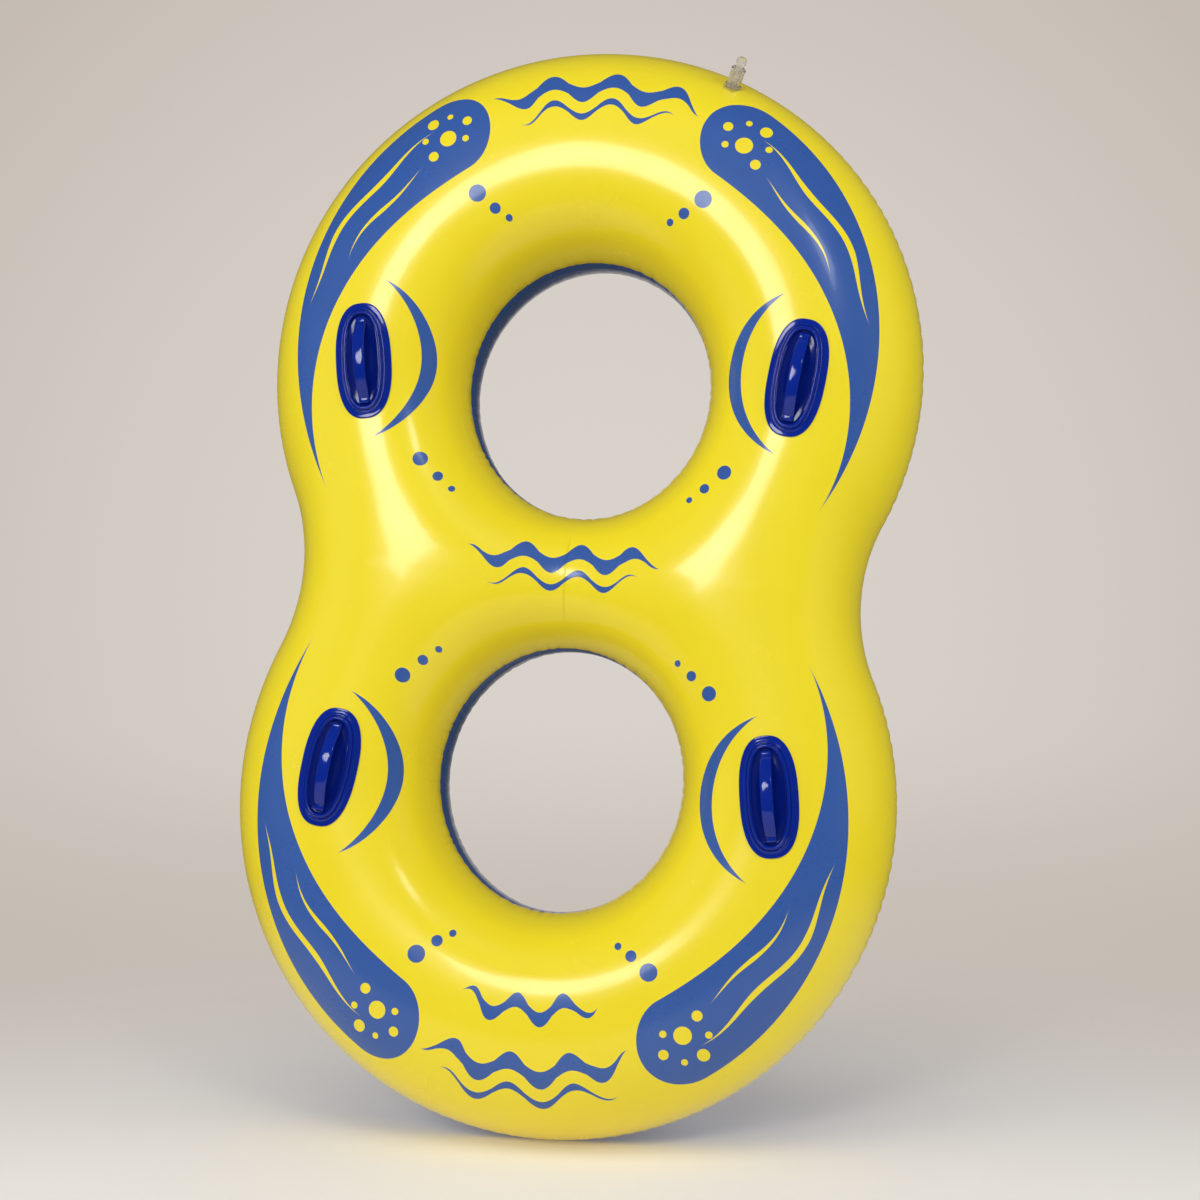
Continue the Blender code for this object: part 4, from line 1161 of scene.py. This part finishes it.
# %% The base
def bead(start, width, foot, height, far_foot):
    """Half an ellipse, a little fuller than a true one, on a smooth slope from foot to foot."""
    turn = np.linspace(0, math.pi, BEAD_STEPS)
    way = (1 - np.cos(turn)) / 2
    rise = (height - (foot + far_foot) / 2) * np.sin(turn) ** BEAD_FULLNESS
    return np.stack([start + width * way, foot + (far_foot - foot) * way + rise], 1)


def base_profile():
    """Inset from the rim and height over the skin, from the rim's underside to the dish. The small
    numbers, in tenths of a millimetre, round the rim and the feet of the beads."""
    edge = [(0.0006, UNDER), (0.0, UNDER + 0.0004), (0.0002, FLANGE_EDGE - 0.0002), (0.0010, FLANGE_EDGE + 0.0001)]
    flange = [(0.0030, 0.0017), (0.0055, 0.0018), (FLANGE_WIDTH - 0.0008, 0.0019)]
    low_bead = bead(FLANGE_WIDTH, OUTER_BEAD_WIDTH - 0.0008, 0.0020, OUTER_BEAD_HEIGHT, GROOVE_HEIGHT)
    tall_bead = bead(GROOVE_INSET, INNER_BEAD_WIDTH, GROOVE_HEIGHT, INNER_BEAD_HEIGHT, DISH_FLOOR + 0.0012)
    floor = [(DISH_INSET + 0.0008, DISH_FLOOR + 0.0004), (DISH_INSET + DISH_FILLET, DISH_FLOOR),
             (DISH_INSET + 0.008, DISH_FLOOR)]
    return np.concatenate([edge, flange, low_bead, tall_bead, floor])


def oval_loops(profile):
    """Across, along and up for each loop of the base. The dish's floor rises to its long sides
    as an eased step inwards times a power of the turn's cosine."""
    turn, cosine, sine = squarish(OVAL_POINTS, BASE_SQUARENESS)
    inset, up = profile[:, 0][:, None], profile[:, 1][:, None]
    share = np.clip((TROUGH_INSET - inset) / (TROUGH_INSET - DISH_INSET), 0, 1)
    share = share * (inset > DISH_INSET - TROUGH_START) * (up > UNDER)
    trough = TROUGH_RISE * eased(share) * np.cos(turn) ** TROUGH_POWER
    return (BASE_WIDTH / 2 - inset) * cosine, (BASE_LENGTH / 2 - inset) * sine, up + trough


def make_base():
    """Loops from the middle of the underside, out to the rim, over the beads and in again. The
    dish attribute, which marks the painted shade, goes from nought to one over the last
    millimetres of the tall bead."""
    inmost = BASE_WIDTH / 2 - MIDDLE_GAP
    below = np.stack([np.linspace(inmost, UNDER_INSET, UNDER_LOOPS), np.full(UNDER_LOOPS, UNDER)], 1)
    above = np.stack([np.linspace(FLOOR_INSET, inmost, DISH_LOOPS), np.full(DISH_LOOPS, DISH_FLOOR)], 1)
    profile = np.concatenate([below, base_profile(), above])
    points = on_handle(*oval_loops(profile)).reshape(-1, 3)
    ends = on_handle(np.zeros(2), np.zeros(2), np.array([UNDER, DISH_FLOOR]))
    faces = ring_faces(len(profile), OVAL_POINTS, False) + fan(len(points), 0, OVAL_POINTS, False)
    faces += fan(len(points) + 1, (len(profile) - 1) * OVAL_POINTS, OVAL_POINTS, True)
    # The share of painted shade in the dish, loop by loop.
    deep = np.clip((profile[:, 0] - DISH_INSET + SHADE_START) / SHADE_EASE, 0, 1)
    deep[:UNDER_LOOPS] = 0
    return np.concatenate([points, ends]), faces, np.concatenate([np.repeat(deep, OVAL_POINTS), [0, 1]])


# %% The grip
GRIP_WIDTH, GRIP_THICKNESS, GRIP_SQUARENESS, GRIP_ARCH_FULLNESS = 0.018, 0.0055, 4, 2.6
GRIP_FINGER_ROOM, GRIP_FOOT_LENGTH, GRIP_END_ROOM = 0.028, 0.010, 0.0015
GRIP_CLOSING, GRIP_CLOSED, GRIP_NARROWING, GRIP_CROWN = 0.0035, 0.0002, 0.002, 0.10
GRIP_SPANS, GRIP_FOOT_SPANS, GRIP_ROUND = 64, 5, 32


def make_grip():
    """A rounded strap carried along an arch. The arch rises as one minus a power of the sine of
    the way along, so it stands steep at its feet and is level over the fingers. Near each end a
    square root closes the strap, and a cosine makes it a little wider in the middle."""
    low = DISH_FLOOR + GAP + GRIP_THICKNESS / 2
    high = DISH_FLOOR + GRIP_FINGER_ROOM + GRIP_THICKNESS / 2
    end = BASE_LENGTH / 2 - DISH_INSET - DISH_FILLET - GRIP_END_ROOM
    sine = np.sin(np.linspace(-math.pi / 2, math.pi / 2, GRIP_SPANS + 1))
    foot = np.arange(GRIP_FOOT_SPANS) / GRIP_FOOT_SPANS * GRIP_FOOT_LENGTH
    level = np.full(GRIP_FOOT_SPANS, low)
    along = np.concatenate([-end + foot, (end - GRIP_FOOT_LENGTH) * sine, (end - foot)[::-1]])
    up = np.concatenate([level, low + (high - low) * (1 - np.abs(sine) ** GRIP_ARCH_FULLNESS), level])
    run, rise = np.gradient(along), np.gradient(up)
    length = np.hypot(run, rise)
    closing = np.sqrt(np.clip((end + GRIP_CLOSED - np.abs(along)) / GRIP_CLOSING, 0, 1))[:, None]
    crown = 1 + GRIP_CROWN * np.cos(np.pi * along / (2 * end))[:, None]
    _, wide, thick = squarish(GRIP_ROUND, GRIP_SQUARENESS)
    across = crown * (GRIP_WIDTH / 2 - GRIP_NARROWING * (1 - closing)) * wide[None]
    lift = GRIP_THICKNESS / 2 * closing * thick[None]
    points = on_handle(across, along[:, None] - lift * (rise / length)[:, None],
                       up[:, None] + lift * (run / length)[:, None]).reshape(-1, 3)
    faces = [face[::-1] for face in ring_faces(len(along), GRIP_ROUND, False)]
    faces.append(list(range(GRIP_ROUND)))
    faces.append(list(reversed(range(len(points) - GRIP_ROUND, len(points)))))
    return points, faces, np.zeros(len(points))


# %% Four mirrored handles
BASE, GRIP = make_base(), make_grip()
for corner, side_x, side_y in (("front_left", -1, -1), ("front_right", 1, -1),
                               ("rear_left", -1, 1), ("rear_right", 1, 1)):
    for kind, (points, faces, dish), finish in (("base", BASE, BASE_VINYL), ("grip", GRIP, GRIP_VINYL)):
        turned_over = faces if side_x * side_y > 0 else [face[::-1] for face in faces]
        mirrored = points * np.array([side_x, side_y, 1.0])
        made = mesh_object(f"moulded_{kind}_{corner}", mirrored, turned_over, finish)
        # The dish attribute tells the material where to paint shade.
        made.data.attributes.new("dish", "FLOAT", "POINT").data.foreach_set("value", dish)
        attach(made, "float")
        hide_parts(f"handle_{kind}_{corner}")
        "handle_vinyl" if kind == "base" else "grip_vinyl"
print("four handles,", len(BASE[1]), "faces in a base,", len(GRIP[1]), "in a grip")

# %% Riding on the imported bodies
for piece, body, node, slot in (
        (yellow_sheet, "float", "top_skin", "top_vinyl"), (blue_sheet, "float", "bottom_skin", "bottom_vinyl"),
        (flange, "float", "valve_flange", "flange_vinyl"), (stem, "stem", "valve_stem", "stem_clear_vinyl"),
        (cap, "cap", "valve_cap", "cap_clear_vinyl")):
    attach(piece, body)
    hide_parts(node)
flap = frame["nodes"]["valve_flap"]
flap.data.materials[0] = CLEAR_VINYL
print("the flap keeps its packed shape, with", len(flap.data.polygons), "faces")

# %% [markdown]
# ## Floor, backdrop and light
#
# The float stands on a pale studio floor in front of a warm grey wall. The floor is level
# for the camera, not for the float, and touches the float's lowest edge. It is a disc that fades
# out before its rim, so it has no horizon, and it glows faintly, which keeps the float's shadow
# pale. The wall's colour comes from the world, for the camera, for what it sees through the clear
# valve and for glancing reflections of the wall, and it has painted shade: it is darker away from
# the camera's line and darker again at its foot, below the floor's level. Two soft boxes far away
# make the long highlights on the tubes. A top box and three fills light the rest, and aren't
# mirrored in the gloss, where they would wash it out.

# %% The floor
FORWARD = VIEW @ Vector((0.0, 0.0, -1.0))
FLOOR_TILT = math.radians(4.0)
FLOOR_COLOUR, FLOOR_REACH, FLOOR_FORWARD = (0.80, 0.765, 0.725), 2.8, 1.0
FLOOR_GLOW, FLOOR_GAP, FLOOR_FADE, FLOOR_ROUGHNESS = 0.14, 0.001, 0.625, 0.7
PAPER_TONE, PAPER_LEVEL, PAPER_PALER = ((0.8, 2.0, 0.25),), 0.5, 1.04
FLOOR_UP = VIEW @ Vector((0.0, math.cos(FLOOR_TILT), math.sin(FLOOR_TILT)))
FLOOR_FRONT = (FLOOR_UP * FORWARD.dot(FLOOR_UP) - FORWARD).normalized()


def lowest_along(direction):
    """The point of the two sheets that lies lowest along a direction."""
    points = []
    for sheet in (yellow_sheet, blue_sheet):
        co = np.empty(len(sheet.data.vertices) * 3)
        sheet.data.vertices.foreach_get("co", co)
        points.append(co.reshape(-1, 3))
    points = np.concatenate(points)
    return Vector(points[(points @ np.array(direction)).argmin()])


FOOT = lowest_along(FLOOR_UP)
FLOOR_MIDDLE = FOOT - FLOOR_UP * FLOOR_GAP + FLOOR_FRONT * FLOOR_FORWARD
print("the float stands on", [round(v, 3) for v in FOOT])


def studio_material(name, colour, reach):
    """Pale paper that fades out over the last part of its reach, by an eased step of the distance
    from its middle, and can't be seen from behind."""
    made, shader, place = new_material(
        name, Roughness=FLOOR_ROUGHNESS, Emission_Strength=FLOOR_GLOW, Emission_Color=(*colour, 1.0))
    tone = (layers(place, PAPER_TONE) + PAPER_LEVEL).kept()
    pale = tuple(min(c * PAPER_PALER, 1.0) for c in colour)
    x, y, z = split(place)
    away = length_of(length_of(x - FLOOR_MIDDLE.x, y - FLOOR_MIDDLE.y), z - FLOOR_MIDDLE.z)
    shown = eased(((away * -1.0 + reach) * (1 / (FLOOR_FADE * reach))).kept())
    front = Field(place.tree.nodes.new("ShaderNodeNewGeometry").outputs["Backfacing"]) * -1.0 + 1.0
    feed(shader, Base_Color=mixed(tone, colour, pale), Alpha=shown * front)
    return made


def disc_mesh(name, centre, up, radius, finish, rings=6, segments=96):
    """Rings of points round a centre, square to the up direction."""
    side = up.orthogonal().normalized()
    other = up.cross(side)
    turn = 2 * math.pi * np.arange(segments) / segments
    away = radius * (np.arange(1, rings + 1) / rings)[:, None, None]
    plane = np.cos(turn)[None, :, None] * np.array(side) + np.sin(turn)[None, :, None] * np.array(other)
    points = np.concatenate([(away * plane).reshape(-1, 3), np.zeros((1, 3))]) + np.array(centre)
    faces = [face[::-1] for face in ring_faces(rings, segments, False)]
    return mesh_object(name, points, faces + fan(len(points) - 1, 0, segments, True), finish)


floor = disc_mesh("studio_floor", FLOOR_MIDDLE, FLOOR_UP, FLOOR_REACH,
                  studio_material("studio_floor", FLOOR_COLOUR, FLOOR_REACH))

# %% The world: the wall's colour with its painted shade where it is seen, a soft light elsewhere
WALL_MIDDLE, WALL_CORNER_SHADE, WALL_FOOT_SHADE = (0.693, 0.645, 0.600), (0.565, 0.505, 0.456), (0.545, 0.490, 0.440)
CORNER_SPREAD, FOOT_DROP, FOOT_SHARPNESS, FOOT_SHADE_SHARE = 21.0, 0.11, 11.0, 0.75
SKY_COLOUR, SKY_LIGHT, SKY_DIMMED = (0.86, 0.87, 0.90, 1.0), 0.24, 0.14
BEHIND, BEHIND_SHARPNESS = 0.96, 40.0
world = bpy.data.worlds.new("studio")
bpy.context.scene.world = world
world.use_nodes = True
nodes = world.node_tree.nodes


def along_way(direction):
    """How far the way that is looked in agrees with a direction, from minus one to one."""
    node = nodes.new("ShaderNodeVectorMath")
    node.operation = "DOT_PRODUCT"
    world.node_tree.links.new(nodes.new("ShaderNodeTexCoord").outputs["Generated"], node.inputs[0])
    node.inputs[1].default_value = direction
    return Field(node.outputs["Value"])


soft, seen = nodes["Background"], nodes.new("ShaderNodeBackground")
rays = {socket.name: Field(socket) for socket in nodes.new("ShaderNodeLightPath").outputs}
ahead = along_way(FORWARD)
# Painted shade on the wall: darker away from the camera's line, and darker at its foot below the floor's level.
corner_shade = ((ahead * -1.0 + 1.0) * CORNER_SPREAD).kept()
below = eased(((along_way(FLOOR_UP) * -1.0 - FOOT_DROP) * FOOT_SHARPNESS).kept()) * FOOT_SHADE_SHARE
feed(seen, Color=mixed(below, mixed(corner_shade, WALL_MIDDLE, WALL_CORNER_SHADE), WALL_FOOT_SHADE))
soft.inputs["Color"].default_value = SKY_COLOUR
feed(soft, Strength=rays["Is Glossy Ray"] * -SKY_DIMMED + SKY_LIGHT)
behind = ((ahead - BEHIND) * BEHIND_SHARPNESS).kept()
shown = rays["Is Camera Ray"] + rays["Is Transmission Ray"] + rays["Is Glossy Ray"] * behind
choose = nodes.new("ShaderNodeMixShader")
feed(choose, Fac=shown.kept())
for place, background in zip(choose.inputs[1:], (soft, seen)):
    world.node_tree.links.new(background.outputs["Background"], place)
world.node_tree.links.new(choose.outputs["Shader"], nodes["World Output"].inputs["Surface"])
print("world:", len(nodes), "nodes")

# %% Lamps
LAMPS = (("key_box", -22, 20, 9.0, 2.4, 1.9, 11.5, True), ("second_box", 22, 34, 9.0, 1.5, 1.25, 9.0, True),
         ("top_box", -8, 52, 4.2, 4.2, 2.4, 1.85, False), ("left_fill", -70, 14, 4.0, 3.0, 3.4, 1.9, False),
         ("right_fill", 70, 14, 4.0, 3.0, 3.4, 1.9, False), ("front_fill", 0, 8, 6.0, 3.0, 3.4, 0.8, False))


def lamp(name, turn, rise, away, width, height, glow, mirrored):
    """A soft box that faces the float's middle. Its place is given by two angles from the camera's
    line, to the right and up, and by its distance. Glow is power for each square metre."""
    data = bpy.data.lights.new(name, "AREA")
    data.shape = "RECTANGLE"
    data.size, data.size_y, data.energy = width, height, glow * math.pi * width * height
    made = bpy.data.objects.new(name, data)
    bpy.context.scene.collection.objects.link(made)
    turn, rise = math.radians(turn), math.radians(rise)
    way = VIEW @ Vector((math.sin(turn) * math.cos(rise), math.sin(rise), math.cos(turn) * math.cos(rise)))
    made.matrix_world = Matrix.Translation(MIDDLE + way * away) @ way.to_track_quat("Z", "Y").to_matrix().to_4x4()
    made.visible_glossy = mirrored


for box in LAMPS:
    lamp(*box)
print(len(LAMPS), "lamps, of which", sum(box[-1] for box in LAMPS), "show in the gloss")

# %% Colours shown as they are
bpy.context.scene.view_settings.view_transform = "Standard"
print("view transform:", bpy.context.scene.view_settings.view_transform)
